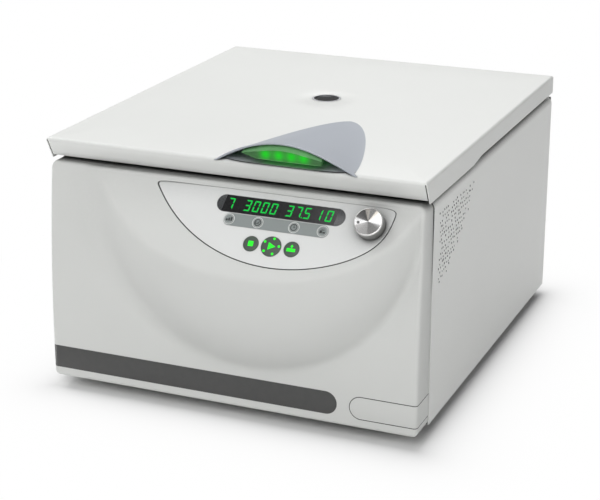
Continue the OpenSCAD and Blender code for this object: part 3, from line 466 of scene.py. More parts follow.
def glow(name, colour, strength):
    """Lit sign, digit or lamp, with a slightly uneven light."""
    material, tree, surface = finish(name, scaled(colour, 0.25), 0.4, Specular_IOR_Level=0.15)
    surface.inputs["Emission Color"].default_value = (*colour, 1)
    feed(tree, surface.inputs["Emission Strength"],
         spread(tree, noise(tree, 900, 2), strength * 0.86, strength * 1.1))
    return material


# Painted fans of reflected light on the knob's face, in its base colour: part of a turn, brightness and warmth
PAINTED_FANS = (
    (0.0, 0.62, 0.0), (0.125, 0.60, 0.1), (0.15, 0.50, 0.6), (0.172, 0.42, 0.6), (0.19, 0.13, 0.1),
    (0.255, 0.16, 0.1), (0.268, 0.27, 0.5), (0.315, 0.25, 0.5), (0.33, 0.075, 0.1), (0.40, 0.10, 0.1),
    (0.455, 0.15, 0.1), (0.475, 0.58, 0.0), (0.55, 0.62, 0.0), (0.575, 0.30, 0.1), (0.66, 0.22, 0.1),
    (0.77, 0.22, 0.1), (0.785, 0.15, 0.1), (0.93, 0.18, 0.1), (0.965, 0.32, 0.0), (0.985, 0.60, 0.0),
)


def radial_brush(name):
    """Turned metal face: circular scratches, and light and dark fans of reflection painted into the base colour by the
    angle about the middle.
    """
    material, tree, surface = finish(name, (0.8, 0.8, 0.8), 0.28, 1.0, Anisotropic=0.6)
    x, y, _ = axes(tree)
    turn = node_math(tree, "DIVIDE", node_math(tree, "ARCTAN2", y, x), 2 * pi)
    turn = node_math(tree, "FRACT", node_math(tree, "ADD", turn, 1.0))
    # Painted reflection: light and dark fans in the base colour, by angle
    fans = node(tree, "ValToRGB", "Color", {"Fac": turn})
    stops = fans.node.color_ramp.elements
    while len(stops) < len(PAINTED_FANS):
        stops.new(0.5)
    for stop, (at, level, warmth) in zip(stops, PAINTED_FANS):
        stop.position = at
        stop.color = (level, level * (1 - 0.10 * warmth), level * (1 - 0.25 * warmth), 1)
    squares = [node_math(tree, "MULTIPLY", side, side) for side in (x, y)]
    out = node_math(tree, "SQRT", node_math(tree, "ADD", *squares))
    rings = node(tree, "TexNoise", "Fac", {"W": out, "Scale": 4200, "Detail": 2}, noise_dimensions="1D")
    feed(tree, surface.inputs["Base Color"], times(tree, fans, spread(tree, rings, 0.93, 1.05)))
    gloss(tree, surface, rings, 0.22, 0.34)
    feed(tree, surface.inputs["Tangent"], node(tree, "Tangent", "Tangent", direction_type="RADIAL", axis="Z"))
    return material


def turned_side(name, edge):
    """Brushed side of a turned knob, with a painted highlight on the bevel above a height and painted shade where other
    pieces are near.
    """
    material = brushed(name, (0.40, 0.395, 0.39), 0.34, (1, 1, 1), 0.2)
    tree = material.node_tree
    surface = surface_of(tree)
    # Painted highlight: the colour is about doubled on the bevel above the given height
    dim(tree, surface, spread(tree, axes(tree)[2], 1.0, 2.1, edge - 0.0004, edge + 0.0002))
    # Painted shade near the panel and other pieces
    shade_crevices(tree, surface, 0.012, 0.25)
    return material


def lit_lens(name, lamps, size):
    """Clouded green lens: soft round glows of the lamps behind its front, painted as emission, and a painted highlight,
    a paler band, on its upward-facing bevel.
    """
    material, tree, surface = finish(name, (0.10, 0.20, 0.105), 0.26, Specular_IOR_Level=0.12)
    surface.inputs["Emission Color"].default_value = (0.004, 0.62, 0.008, 1)
    # Painted highlight: the upward-facing faces of the bevel are paler
    band = spread(tree, axes(tree, "Normal")[2], 0.0, 1.0, 0.25, 0.5)
    where, total = node(tree, "TexCoord", "Object"), 0.03
    for lamp in lamps:
        away = node(tree, "VectorMath", "Value", {0: where, 1: lamp}, operation="DISTANCE")
        fall = node_math(tree, "DIVIDE", away, size)
        fall = node_math(tree, "MULTIPLY", node_math(tree, "MULTIPLY", fall, fall), -1.0)
        total = node_math(tree, "ADD", node_math(tree, "EXPONENT", fall), total)
    off_band = node_math(tree, "SUBTRACT", 1.0, node_math(tree, "MULTIPLY", band, 0.8))
    front = node_math(tree, "MULTIPLY", node_math(tree, "MINIMUM", total, 1.0), off_band)
    feed(tree, surface.inputs["Emission Strength"], front)
    shade = node_math(tree, "SUBTRACT", node_math(tree, "ADD", band, 0.5), node_math(tree, "MULTIPLY", front, 0.5))
    shade = node_math(tree, "ADD", shade, spread(tree, noise(tree, 220, 3), -0.05, 0.05))
    tint(tree, surface, node_math(tree, "MULTIPLY", shade, 0.6), (0.006, 0.03, 0.007), (0.20, 0.45, 0.20))
    return material


def seen_directly(tree):
    """1 for what the camera sees by itself or through glass."""
    path = node(tree, "LightPath", "Is Camera Ray").node
    rays = node_math(tree, "ADD", path.outputs["Is Camera Ray"], path.outputs["Is Transmission Ray"])
    return node_math(tree, "MINIMUM", rays, 1.0)


def mix_shaders(tree, amount, first, second):
    """The second shader over the first, by an amount."""
    return node(tree, "MixShader", "Shader", {0: amount, 1: first, 2: second})


def show(tree, shader):
    """Makes a shader the outcome of a node tree."""
    feed(tree, next(n for n in tree.nodes if n.type.startswith("OUTPUT_")).inputs["Surface"], shader)


def pale_floor(name, colour, seen_colour, reach, centre, half):
    """White paper floor: near the object the camera sees a darker copy of the paper, painted shade that deepens the
    object's shadow, and a painted white, growing with distance from the footprint, lifts the shadow and runs out into
    plain white.
    """
    material, tree, surface = finish(name, (colour,) * 3, 0.9)
    # Painted shade: the paper that the camera sees is darker than the paper that bounces light
    lit = node(tree, "BsdfDiffuse", "BSDF", {"Color": (seen_colour,) * 3 + (1,)})
    squares = []
    for at, middle, side in zip(axes(tree), centre, half):
        off = node_math(tree, "ABSOLUTE", node_math(tree, "SUBTRACT", at, middle))
        past = node_math(tree, "MAXIMUM", node_math(tree, "SUBTRACT", off, side), 0.0)
        squares.append(node_math(tree, "MULTIPLY", past, past))
    away = node_math(tree, "DIVIDE", node_math(tree, "SQRT", node_math(tree, "ADD", *squares)), reach)
    kept = node_math(tree, "EXPONENT", node_math(tree, "MULTIPLY", node_math(tree, "POWER", away, 0.9), -1.0))
    # Painted light: white emission, growing with distance from the footprint, lifts the floor's shadow
    painted_white = node_math(tree, "SUBTRACT", 1.0, kept)
    shown = mix_shaders(tree, painted_white, lit, node(tree, "Emission", "Emission"))
    show(tree, mix_shaders(tree, seen_directly(tree), surface.outputs["BSDF"], shown))
    return material


# Moulded front

FRONT_HALF, FRONT_WALL = 273.0, 3.5
EDGE_R, TOP_R, LOW_R = 5.0, 12.0, 7.0
EDGE_COUNTS = (120, 72, 120, 72)
SEAM_Y, SEAM_EDGE = 47.0, 0.9
LEAN_Z, LEAN_R = 47.0, 1900.0
TILT = radians(40)
PANEL_Z = CABINET_HEIGHT - 4
BELLY_X, BELLY_Z = 34.0, CABINET_HEIGHT - 10
BELLY_RX, BELLY_RZ = 238.0, 243.0
CREASE_SPREAD = 2.2
CONTROLS_X = 84.0
PANEL_C = np.array([-10.0, 45.0])
PANEL_R, PANEL_DROP, PANEL_TOP, PANEL_RIGHT = 232.0, 107.0, 4.0, 154.0
CORNER_P, SIDE_P = 16, 9
SEAT_DEPTH, SEAT_EDGE = 3.2, 0.5
WALL_START, LEAST_R = 6.0, 0.6


def base_y(z):
    """Flat front: upright, then leaning back on a long arc."""
    return np.where(z < LEAN_Z, 0, (z - LEAN_Z) ** 2 / (2 * LEAN_R))


PANEL_Y = float(base_y(PANEL_Z))


def front_y(x, z, belly, ridge, crease):
    """Distance behind the flat lower front of the moulded surface at x, z."""
    slope = base_y(z) - PANEL_Y + (PANEL_Z - z) * tan(TILT)
    n = 2.2 + 1.8 * np.clip((x - BELLY_X + BELLY_RX) / (2 * BELLY_RX), 0, 1)
    rho = np.hypot((x - BELLY_X) / BELLY_RX, (z - BELLY_Z) / BELLY_RZ)
    dome = belly * (1 - rho ** n)
    gap = np.abs(slope - dome)
    low = np.minimum(slope, dome) - np.where(gap < ridge, (ridge - gap) ** 2 / (4 * ridge), 0)
    crease = crease * (1 + CREASE_SPREAD * np.clip((BELLY_X - x) / BELLY_RX * 1.4 - 0.15, 0, 1))
    out = np.where(low >= crease, low, np.where(low <= -crease, 0, (low + crease) ** 2 / (4 * crease)))
    return base_y(z) - out


def panel_reach(u, moved=0.0):
    """Distance from the panel's middle point to its edge along unit directions u."""
    d = PANEL_C - (0, PANEL_DROP - PANEL_R)
    r = PANEL_R - moved
    b = u @ d
    arc = -b + np.sqrt(b * b - (d @ d - r * r))
    top = (PANEL_C[1] - PANEL_TOP - moved) / np.maximum(-u[:, 1], 1e-4)
    right = (PANEL_RIGHT - PANEL_C[0] - moved) / np.maximum(u[:, 0], 1e-4)
    side = (arc ** -SIDE_P + right ** -SIDE_P) ** (-1 / SIDE_P)
    return (side ** -CORNER_P + top ** -CORNER_P) ** (-1 / CORNER_P)


def front_outline(in_by):
    """Rounded rectangle of the moulding's front, inset by in_by; the count of points never changes."""
    h, z0, z1 = FRONT_HALF - in_by, in_by, CABINET_HEIGHT - in_by
    arcs = []
    for k, (sx, sz, r) in enumerate([(-1, 0, LOW_R), (1, 0, LOW_R), (1, 1, TOP_R), (-1, 1, TOP_R)]):
        r = max(r - in_by, LEAST_R)
        cx, cz = sx * (h - r), (z1 - r) if sz else (z0 + r)
        start = [pi, 1.5 * pi, 0, 0.5 * pi][k]
        arcs.append([np.array((cx + r * cos(a), cz + r * sin(a))) for a in np.linspace(start, start + pi / 2, 9)])
    points = []
    for k, count in enumerate(EDGE_COUNTS):
        last, first = arcs[k][-1], arcs[(k + 1) % 4][0]
        points += arcs[k] + [last + (first - last) * f for f in np.arange(1, count) / count]
    return np.array(points)


class CENTRIFUGE_OT_front(Operator):
    """Builds the moulded front with its belly and its seat for the control panel"""
    bl_idname = "centrifuge.front"
    bl_label = "Moulded front"

    def execute(self, context):
        size, paint = context.scene.centrifuge_front, context.scene.centrifuge_paint
        relief = [v / MM for v in (size.belly_depth, size.ridge_softness, size.crease_softness)]
        border = front_outline(EDGE_R)
        rays = np.c_[border[:, 0] - CONTROLS_X, (PANEL_Z - border[:, 1]) / cos(TILT)] - PANEL_C
        end = np.linalg.norm(rays, axis=1)
        u = rays / end[:, None]
        start = panel_reach(u)

        def on_front(r, push=0.0):
            """Ring on the surface at distances r from the panel's middle point, pushed back."""
            q = PANEL_C + r[:, None] * u
            x, z = q[:, 0] + CONTROLS_X, PANEL_Z - q[:, 1] * cos(TILT)
            return np.c_[x, front_y(x, z, *relief) + push, z]

        def on_border(in_by, y):
            """Ring on the inset border at depths y."""
            ring = front_outline(in_by)
            return np.c_[ring[:, 0], np.broadcast_to(y, len(ring)), ring[:, 1]]

        inward = np.array([0, cos(TILT), -sin(TILT)])
        rings = [on_front(start) + inward * SEAT_DEPTH, on_front(start) + inward * SEAT_EDGE]
        for a in quarter(5)[1:]:
            rings.append(on_front(start + SEAT_EDGE * (1 - cos(a))) + inward * SEAT_EDGE * (1 - sin(a)))
        first = start + SEAT_EDGE
        steps = np.linspace(0, 1, 96) ** 1.25
        rings += [on_front(first + (end - first) * f) for f in steps[1:]]
        face_y = rings[-1][:, 1]
        rings += [on_border(EDGE_R * (1 - sin(a)), face_y + EDGE_R * (1 - cos(a))) for a in quarter(8)[1:]]
        rings += [on_border(0.0, SEAM_Y - SEAM_EDGE), on_border(SEAM_EDGE, SEAM_Y), on_border(FRONT_WALL, SEAM_Y)]
        rings.append(on_border(FRONT_WALL, face_y + WALL_START))
        rings += [on_front(first + (end - first) * f, FRONT_WALL) for f in steps[3:-3:3][::-1]]
        points, faces = in_row(loft(rings, wrap_rows=True))
        # The front's finish paints shade under the lid and in the belly's crease
        add_piece("moulded_front", (points, [f[::-1] for f in faces]), fine_moulding("Moulded front", paint.front),
                  "cabinet", ["front_moulding"], sharp=60)
        return {"FINISHED"}


# Trim band, corner cover, and a dark strip round the cover as painted shade of its groove

CORNER_TURN = EDGE_R * pi / 2
STRIP_END = FRONT_HALF - EDGE_R + CORNER_TURN + (SEAM_Y - EDGE_R) - 0.6
# Side, x of the round end, lowest and highest z
BAND_AT = (-1, 144, 13.5, 46.5)
COVER_AT = (1, 194.6, 14.2, 45.4)
GROOVE_SHADE_AT = (1, 194.6, 13.1, 46.5)
# Rise above the moulding, thickness and edge rounding
BAND_SKIN, COVER_SKIN, GROOVE_SHADE_SKIN = (0.25, 0.9, 0.2), (0.3, 0.9, 0.35), (0.06, 0.5, 0.02)


def wrapped(s, z, side, lift):
    """Point of a strip, drawn at s along the front (beyond the edge goes round it), on the moulding's surface."""
    straight = FRONT_HALF - EDGE_R
    d = s * side - straight
    if d <= 0:
        return s, float(base_y(z)) - lift, z
    if d < CORNER_TURN:
        a, r = d / EDGE_R, EDGE_R + lift
        return side * (straight + r * sin(a)), EDGE_R - r * cos(a), z
    return side * (FRONT_HALF + lift), EDGE_R + d - CORNER_TURN, z


def strip_skin(side, x_round, z0, z1, lift, thick, edge):
    """Thin strip on the moulding, from its round end to behind the corner, with a rounded edge all round."""
    h, middle = (z1 - z0) / 2, (z0 + z1) / 2
    columns = [x_round - side * h * cos(a) for a in quarter(24)]
    columns += list(x_round + (side * STRIP_END - x_round) * np.linspace(0, 1, 140)[1:])
    rings = []
    for x in columns:
        d = max((x_round - x) * side, 0.0)
        half = max(sqrt(max(h * h - d * d, 0.0)), 0.02)
        e = min(edge, half * 0.5)
        rise = [(-half, lift - thick), (-half, lift - e), (-half + 0.3 * e, lift - 0.3 * e), (-half + e, lift)]
        section = rise + [(0, lift)] + [(-dz, out) for dz, out in rise[::-1]]
        rings.append([wrapped(x, middle + dz, side, out) for dz, out in section])
    return in_row(loft(rings, start_cap=True, end_cap=True))


class CENTRIFUGE_OT_trim(Operator):
    """Builds the dark trim band round the left corner and the cover round the right one, with a dark strip round the
    cover that is painted shade of its groove
    """
    bl_idname = "centrifuge.trim"
    bl_label = "Trim band and corner cover"

    def execute(self, context):
        paint = context.scene.centrifuge_paint
        band = strip_skin(*BAND_AT, *BAND_SKIN)
        add_piece("trim_band_foil", band, dull_plastic("Trim band", paint.band, 0.42), "cabinet", ["trim_band"])
        cover = strip_skin(*COVER_AT, *COVER_SKIN)
        add_piece("corner_cover_plate", cover, fine_moulding("Corner cover", paint.front), "cabinet",
                  ["corner_cover"])
        # Painted shade: a dark strip in the groove round the cover
        cover_groove_shade = strip_skin(*GROOVE_SHADE_AT, *GROOVE_SHADE_SKIN)
        add_piece("corner_cover_joint", cover_groove_shade, dull_plastic("Cover joint", (0.05, 0.05, 0.05), 0.7), "cabinet")
        return {"FINISHED"}


# Control panel: places are (x, distance down the slope), then width and height or diameter

DISPLAY = (-5.0, 25.5, 181.0, 24.2)
STRIP = (-6.0, 47.2, 148.0, 17.0)
KEYS_AT, KEYS_APART = (-4.0, 77.0), 28.6
SELECT_X = (-66, -25, 26, 66)
START_D, SMALL_D, SELECT_D, KEY_PLAY = 27.5, 21.0, 12.6, 0.35
# Bottom and top, above the panel's face, and edge rounding of each plate; the groove plate is near-black, painted shade
# of the groove
FILM_PLATE, GROOVE_SHADE_PLATE = (-3.0, 0.0, 0.5), (-3.1, -1.6, 0.1)
DISPLAY_PLATE, STRIP_PLATE = (-2.5, 0.35, 0.25), (-0.3, 0.5, 0.2)
GROOVE_UNDER, FRAME_LIFT, FIELD_TOP, DIGIT_TOP = 0.4, 0.48, 0.42, 0.48
FIELD_LEFT, FIELD_RIGHT, FIELD_EDGE, FIELD_SLANT = 10.5, 12.0, 0.6, 3.0
DIGIT_W, DIGIT_H, DIGIT_T, DIGIT_GAP, DIGIT_SLANT, DIGIT_PITCH = 8.6, 15.6, 1.8, 0.35, 0.14, 12.4
READOUT = (("7", -75.0), ("3000", -50.5), ("375", 9.0), ("1", 49.4), ("0", 64.4))
DOT_R, DOT_X, DOT_UP = 0.95, 31.2, 0.9
RING_H = 0.12
SEGMENTS = {"0": "abcdef", "1": "bc", "3": "abgcd", "5": "afgcd", "7": "abc"}


def key_places():
    """Place across and down the panel, and diameter, of each of the seven keys."""
    x, s = KEYS_AT
    round_keys = [(x - KEYS_APART, s, SMALL_D), (x, s, START_D), (x + KEYS_APART, s, SMALL_D)]
    return round_keys + [(STRIP[0] + kx, STRIP[1], SELECT_D) for kx in SELECT_X]


def panel_frame():
    """Matrix of the panel's own axes: x right, y up the slope, z outwards, in metres about the controls' point."""
    right, up, out = (1, 0, 0), (0, sin(TILT), cos(TILT)), (0, -cos(TILT), sin(TILT))
    m = Matrix((right, up, out)).transposed().to_4x4()
    m.translation = place(CONTROLS_X, PANEL_Y, PANEL_Z)
    return m


def on_panel(shape, x=0.0, s=0.0, h=0.0):
    """Shape in millimetres, drawn about (x, s) and above h on the panel, in the row frame."""
    points, faces = shape
    m = np.array(panel_frame())
    return ((points + (x, -s, h)) * MM) @ m[:3, :3].T + m[:3, 3], faces


def segment_shapes(digit):
    """Seven-segment digit as a list of outlines, slanted to the right."""
    w, h, t, g = DIGIT_W, DIGIT_H, DIGIT_T, DIGIT_GAP
    e = t / 2
    bars = {
        "a": [(g, h), (w - g, h), (w - t + 0.1, h - t), (t - 0.1, h - t)],
        "d": [(t - 0.1, t), (w - t + 0.1, t), (w - g, 0), (g, 0)],
        "g": [(e, h / 2), (t, h / 2 + e), (w - t, h / 2 + e), (w - e, h / 2), (w - t, h / 2 - e), (t, h / 2 - e)],
        "f": [(0, h - g), (t, h - t - g), (t, h / 2 + e + g), (e, h / 2 + g), (0, h / 2 + e)],
        "b": [(w, h - g), (w, h / 2 + e), (w - e, h / 2 + g), (w - t, h / 2 + e + g), (w - t, h - t - g)],
        "e": [(0, h / 2 - e), (e, h / 2 - g), (t, h / 2 - e - g), (t, t + g), (0, g)],
        "c": [(w, g), (w - t, t + g), (w - t, h / 2 - e - g), (w - e, h / 2 - g), (w, h / 2 - e)],
    }
    shapes = []
    for key in SEGMENTS[digit]:
        p = np.array(bars[key])
        p[:, 0] += DIGIT_SLANT * (p[:, 1] - h / 2)
        shapes.append(p)
    return shapes


def flat_shapes(outlines, h):
    """Thin raised shapes as one mesh."""
    parts = []
    for p in outlines:
        p = np.asarray(p, float)
        area = 0.5 * np.sum(p[:, 0] * np.roll(p[:, 1], -1) - np.roll(p[:, 0], -1) * p[:, 1])
        if area < 0:
            p = p[::-1]
        parts.append(loft([at_height(p, 0), at_height(p, h)], start_cap=True, end_cap=True))
    return join_parts(*parts)


def ring_shape(r0, r1):
    """Thin raised ring between two radii."""
    inner, outer = circle(r0, 48), circle(r1, 48)
    rings = [at_height(inner, 0), at_height(inner, RING_H), at_height(outer, RING_H), at_height(outer, 0)]
    return loft(rings, wrap_rows=True)


class CENTRIFUGE_OT_panel(Operator):
    """Builds the control panel, its display with the digits and the strip of select keys"""
    bl_idname = "centrifuge.panel"
    bl_label = "Control panel and display"

    def execute(self, context):
        size, paint = context.scene.centrifuge_front, context.scene.centrifuge_paint
        a = np.linspace(0, 2 * pi, 360, endpoint=False)
        u = np.c_[np.cos(a), np.sin(a)]

        def panel_outline(inset_by):
            edge = PANEL_C + panel_reach(u, inset_by)[:, None] * u
            return np.c_[edge[:, 0], -edge[:, 1]][::-1]

        below_top = PANEL_C[1] + panel_reach(u) * u[:, 1] - PANEL_TOP
        seam = size.groove / MM * (0.25 + 0.75 * np.clip((below_top - 1) / 12, 0, 1))
        holes = [(x, -s, d / 2 + KEY_PLAY) for x, s, d in key_places()]
        # The panel film's finish paints shade within 5 cm of other pieces, such as under the lid
        film = add_piece("panel_film", on_panel(pierced(panel_outline(seam), holes, *FILM_PLATE)),
                         printed_film("Panel film", (0.80, 0.81, 0.80), 0.05), "cabinet", ["control_panel"],
                         sharp=50)
        close_seams(film, 50)
        # Painted shade: a near-black plate below the film shows as the dark groove round the panel and round the keys
        add_piece("panel_groove", on_panel(plate(panel_outline(-GROOVE_UNDER), *GROOVE_SHADE_PLATE)),
                  dull_plastic("Panel groove", (0.03, 0.033, 0.033), 0.7), "cabinet")

        x, s, w, h = DISPLAY
        add_piece("display_film", on_panel(plate(stadium(w, h, 40), *DISPLAY_PLATE), x, s),
                  dull_plastic("Display film", (0.055, 0.057, 0.06), 0.3), "cabinet",
                  ["display_window", "display_module"], sharp=50)
        left, right, high, lean = FIELD_LEFT - w / 2, w / 2 - FIELD_RIGHT, h / 2 - FIELD_EDGE, FIELD_SLANT / 2
        field = [(left - lean, -high), (right - lean, -high), (right + lean, high), (left + lean, high)]
        add_piece("display_field", on_panel(flat_shapes([field], FIELD_TOP), x, s), smoked_window("Display field"),
                  "cabinet")
        signs = []
        for text, start in READOUT:
            for k, digit in enumerate(text):
                signs += [p + (start + k * DIGIT_PITCH, -DIGIT_H / 2) for p in segment_shapes(digit)]
        signs.append(circle(DOT_R, 12, (DOT_X, DOT_UP - DIGIT_H / 2)))
        add_piece("display_digits", on_panel(flat_shapes(signs, DIGIT_TOP), x, s),
                  glow("Digit light", paint.glow, 0.68), "cabinet")

        x, s, w, h = STRIP
        holes = [(kx, 0.0, SELECT_D / 2 + KEY_PLAY) for kx in SELECT_X]
        strip = add_piece("select_strip", on_panel(pierced(stadium(w, h, 32), holes, *STRIP_PLATE), x, s),
                          printed_film("Strip film", (0.27, 0.30, 0.295)), "cabinet", ["key_strip"],
                          sharp=50)
        close_seams(strip, 50)
        frame_ring = ring_shape(SELECT_D / 2 + 0.55, SELECT_D / 2 + 1.45)
        add_piece("select_frames", join_parts(*[on_panel(frame_ring, x + kx, s, FRAME_LIFT) for kx in SELECT_X]),
                  printed_film("Strip print", (0.78, 0.80, 0.79)), "cabinet")
        return {"FINISHED"}


# Keys

KEY_BACK, KEY_BEVEL, KEY_DOME = -4.8, 0.6, 0.12
KEY_PROUD, KEY_SIGN_LIFT, KEY_SIGN_H = 0.75, 0.70, 0.32
SELECT_PROUD, RIM_LIFT, SIGN_LIFT, SIGN_H, SIGN_RING_LIFT = 0.72, 0.70, 0.65, 0.30, 0.83
RIM_R, SIGN_RING_R = (5.5, 6.25), (3.9, 4.7)


def box_shape(x0, y0, x1, y1):
    """Outline of an upright rectangle."""
    return [(x0, y0), (x1, y0), (x1, y1), (x0, y1)]


STOP_SIGN = [box_shape(-3.6, -3.6, 3.6, 3.6)]
START_SIGN = [[(-3.9, -5.2), (6.3, 0.2), (-3.9, 5.2)]]
START_SIGN += [circle(1.75, 20, (11 * cos(a), 11 * sin(a))) for a in np.radians(78 + 72 * np.arange(5))]
LID_SIGN = [box_shape(-6.2, -3.6, 5.6, 0.9), box_shape(-0.8, 1.6, 0.8, 4.2), [(-2.4, 3.4), (2.4, 3.4), (0, 6.2)]]
# Size, ring or not, and outlines of each select key's sign
SELECT_SIGNS = (
    (1.35, False, [box_shape(-3.2, -1.9, -1.2, 0.0), box_shape(-0.6, -1.9, 1.2, 1.2), box_shape(1.8, -1.9, 3.4, 2.2)]),
    (1.0, True, [box_shape(-3, -2, -2.3, 2), [(-0.6, -0.6), (2.6, 2.1), (3.0, 1.6), (0.4, -1.0)],
                 box_shape(-2.3, -2, 2.8, -1.4)]),
    (1.05, True, [box_shape(-0.35, -0.4, 0.35, 2.8), box_shape(-0.3, -0.5, 2.0, 0.1)]),
    (1.35, False, [box_shape(-2.8, -2.0, -0.4, 0.6), box_shape(0.2, -2.0, 2.8, -0.6), box_shape(-1.4, 1.0, 1.6, 1.7)]),
)


def key_body(d, proud):
    """Round key with a gently domed, rounded cap."""
    r = d / 2
    profile = [(0, KEY_BACK), (r - 0.3, KEY_BACK), (r, KEY_BACK + 0.3), (r, proud - KEY_BEVEL)]
    profile += rounded(r, proud, KEY_BEVEL, 6)
    profile += [(f * (r - KEY_BEVEL), proud + KEY_DOME * (1 - f * f)) for f in (0.7, 0.4, 0.15)]
    return turned(profile + [(0, proud + KEY_DOME)], 72)


class CENTRIFUGE_OT_keys(Operator):
    """Builds the stop, start, lid and select keys with their signs"""
    bl_idname = "centrifuge.keys"
    bl_label = "Keys"

    def execute(self, context):
        cap = dull_plastic("Key cap", (0.062, 0.085, 0.066), 0.35)
        rim = printed_film("Key sign print", (0.50, 0.53, 0.52))
        ink = dull_plastic("Key sign ink", (0.03, 0.035, 0.035), 0.6)
        light = glow("Key light", (0.03, 0.95, 0.035), 1.0)
        places = key_places()
        for (x, s, d), name, sign in zip(places, ("stop", "start", "lid"), (STOP_SIGN, START_SIGN, LID_SIGN)):
            body = f"{name}_button"
            add_piece(f"{name}_cap", on_panel(key_body(d, KEY_PROUD), x, s), cap, body, [f"{name}_key"])
            add_piece(f"{name}_sign", on_panel(flat_shapes(sign, KEY_SIGN_H), x, s, KEY_SIGN_LIFT), light, body)
        face = printed_film("Select face", (0.25, 0.28, 0.275))
        for i, (x, s, d) in enumerate(places[3:]):
            body = f"select_button_{i + 1}"
            add_piece(f"select_cap_{i + 1}", on_panel(key_body(d, SELECT_PROUD), x, s), face, body,
                      [f"select_key_{i + 1}"])
            add_piece(f"select_ring_{i + 1}", on_panel(ring_shape(*RIM_R), x, s, RIM_LIFT), rim, body)
            size, ringed, outlines = SELECT_SIGNS[i]
            sign = on_panel(flat_shapes([np.array(q) * size for q in outlines], SIGN_H), x, s, SIGN_LIFT)
            if ringed:
                sign = join_parts(sign, on_panel(ring_shape(*SIGN_RING_R), x, s, SIGN_RING_LIFT))
            add_piece(f"select_sign_{i + 1}", sign, ink, body)
        return {"FINISHED"}


# Setting knob

KNOB_X, KNOB_S, KNOB_D, KNOB_H = 123.0, 32.0, 38.6, 17.0
KNOB_GAP, KNOB_BEVEL, KNOB_FACE_IN = 0.6, 1.6, 1.5
DIMPLE_R, DIMPLE_OUT, DIMPLE_TURN = 1.9, 0.72, radians(192)


class CENTRIFUGE_OT_knob(Operator):
    """Builds the turned setting knob with its finger dimple"""
    bl_idname = "centrifuge.knob"
    bl_label = "Setting knob"

    def execute(self, context):
        r, z0, z1 = KNOB_D / 2, KNOB_GAP, KNOB_GAP + KNOB_H
        m = panel_frame() @ Matrix.Translation((KNOB_X * MM, -KNOB_S * MM, 0))

        def part(name, shape, material, nodes=(), matrix=m):
            points, faces = shape
            add_piece(name, (points * MM, faces), material, "setting_knob", nodes, 40, matrix)

        profile = [(0, z0), (r - 1.2, z0), (r - 0.4, z0 + 0.4), (r - 0.1, z0 + 1.4), (r, z0 + 3), (r, z1 - KNOB_BEVEL)]
        profile += rounded(r, z1, KNOB_BEVEL, 8) + [(0, z1)]
        part("knob_body", turned(profile, 128), turned_side("Knob side", (z1 - KNOB_FACE_IN) * MM), ["knob"])
        face_r = r - KNOB_FACE_IN
        rings = [at_height(circle(face_r * f, 128), z1 + 0.05) for f in np.linspace(1, 0.02, 26)]
        part("knob_face", loft(rings, end_cap=True), radial_brush("Knob face"))
        out = face_r * DIMPLE_OUT * MM
        at = m @ Matrix.Translation((out * cos(DIMPLE_TURN), out * sin(DIMPLE_TURN), (z1 - 0.38) * MM))
        cup = [(DIMPLE_R * f, z + 0.5) for f, z in ((1, 0.10), (0.86, 0.02), (0.6, -0.3), (0.3, -0.45), (0, -0.5))]
        # Painted shade: the dimple's metal is dark, standing for the shade inside it
        part("knob_dimple", turned(cup, 32), brushed("Knob dimple", (0.15, 0.15, 0.15), 0.4), matrix=at)
        return {"FINISHED"}


# Lid

LID_HALF = 275.0
LID_Z0, LID_Z1 = 320.9, 348.4
LID_FRONT, LID_BACK = 12.3, 627.3
APRON_LEAN = 0.53
SHEET, SHEET_EDGE, SLIT, SLIT_TOP, SLIT_SIDE = 1.5, 0.3, 1.4, 3.0, 0.25
SKIRT_DROP, JOG_Y0, JOG_Y1 = 4.7, 212.0, 248.0
FOLD_R = 4.0
AXIS_Y = 358.0
PORT_D, PORT_RIM = 36.0, 3.0


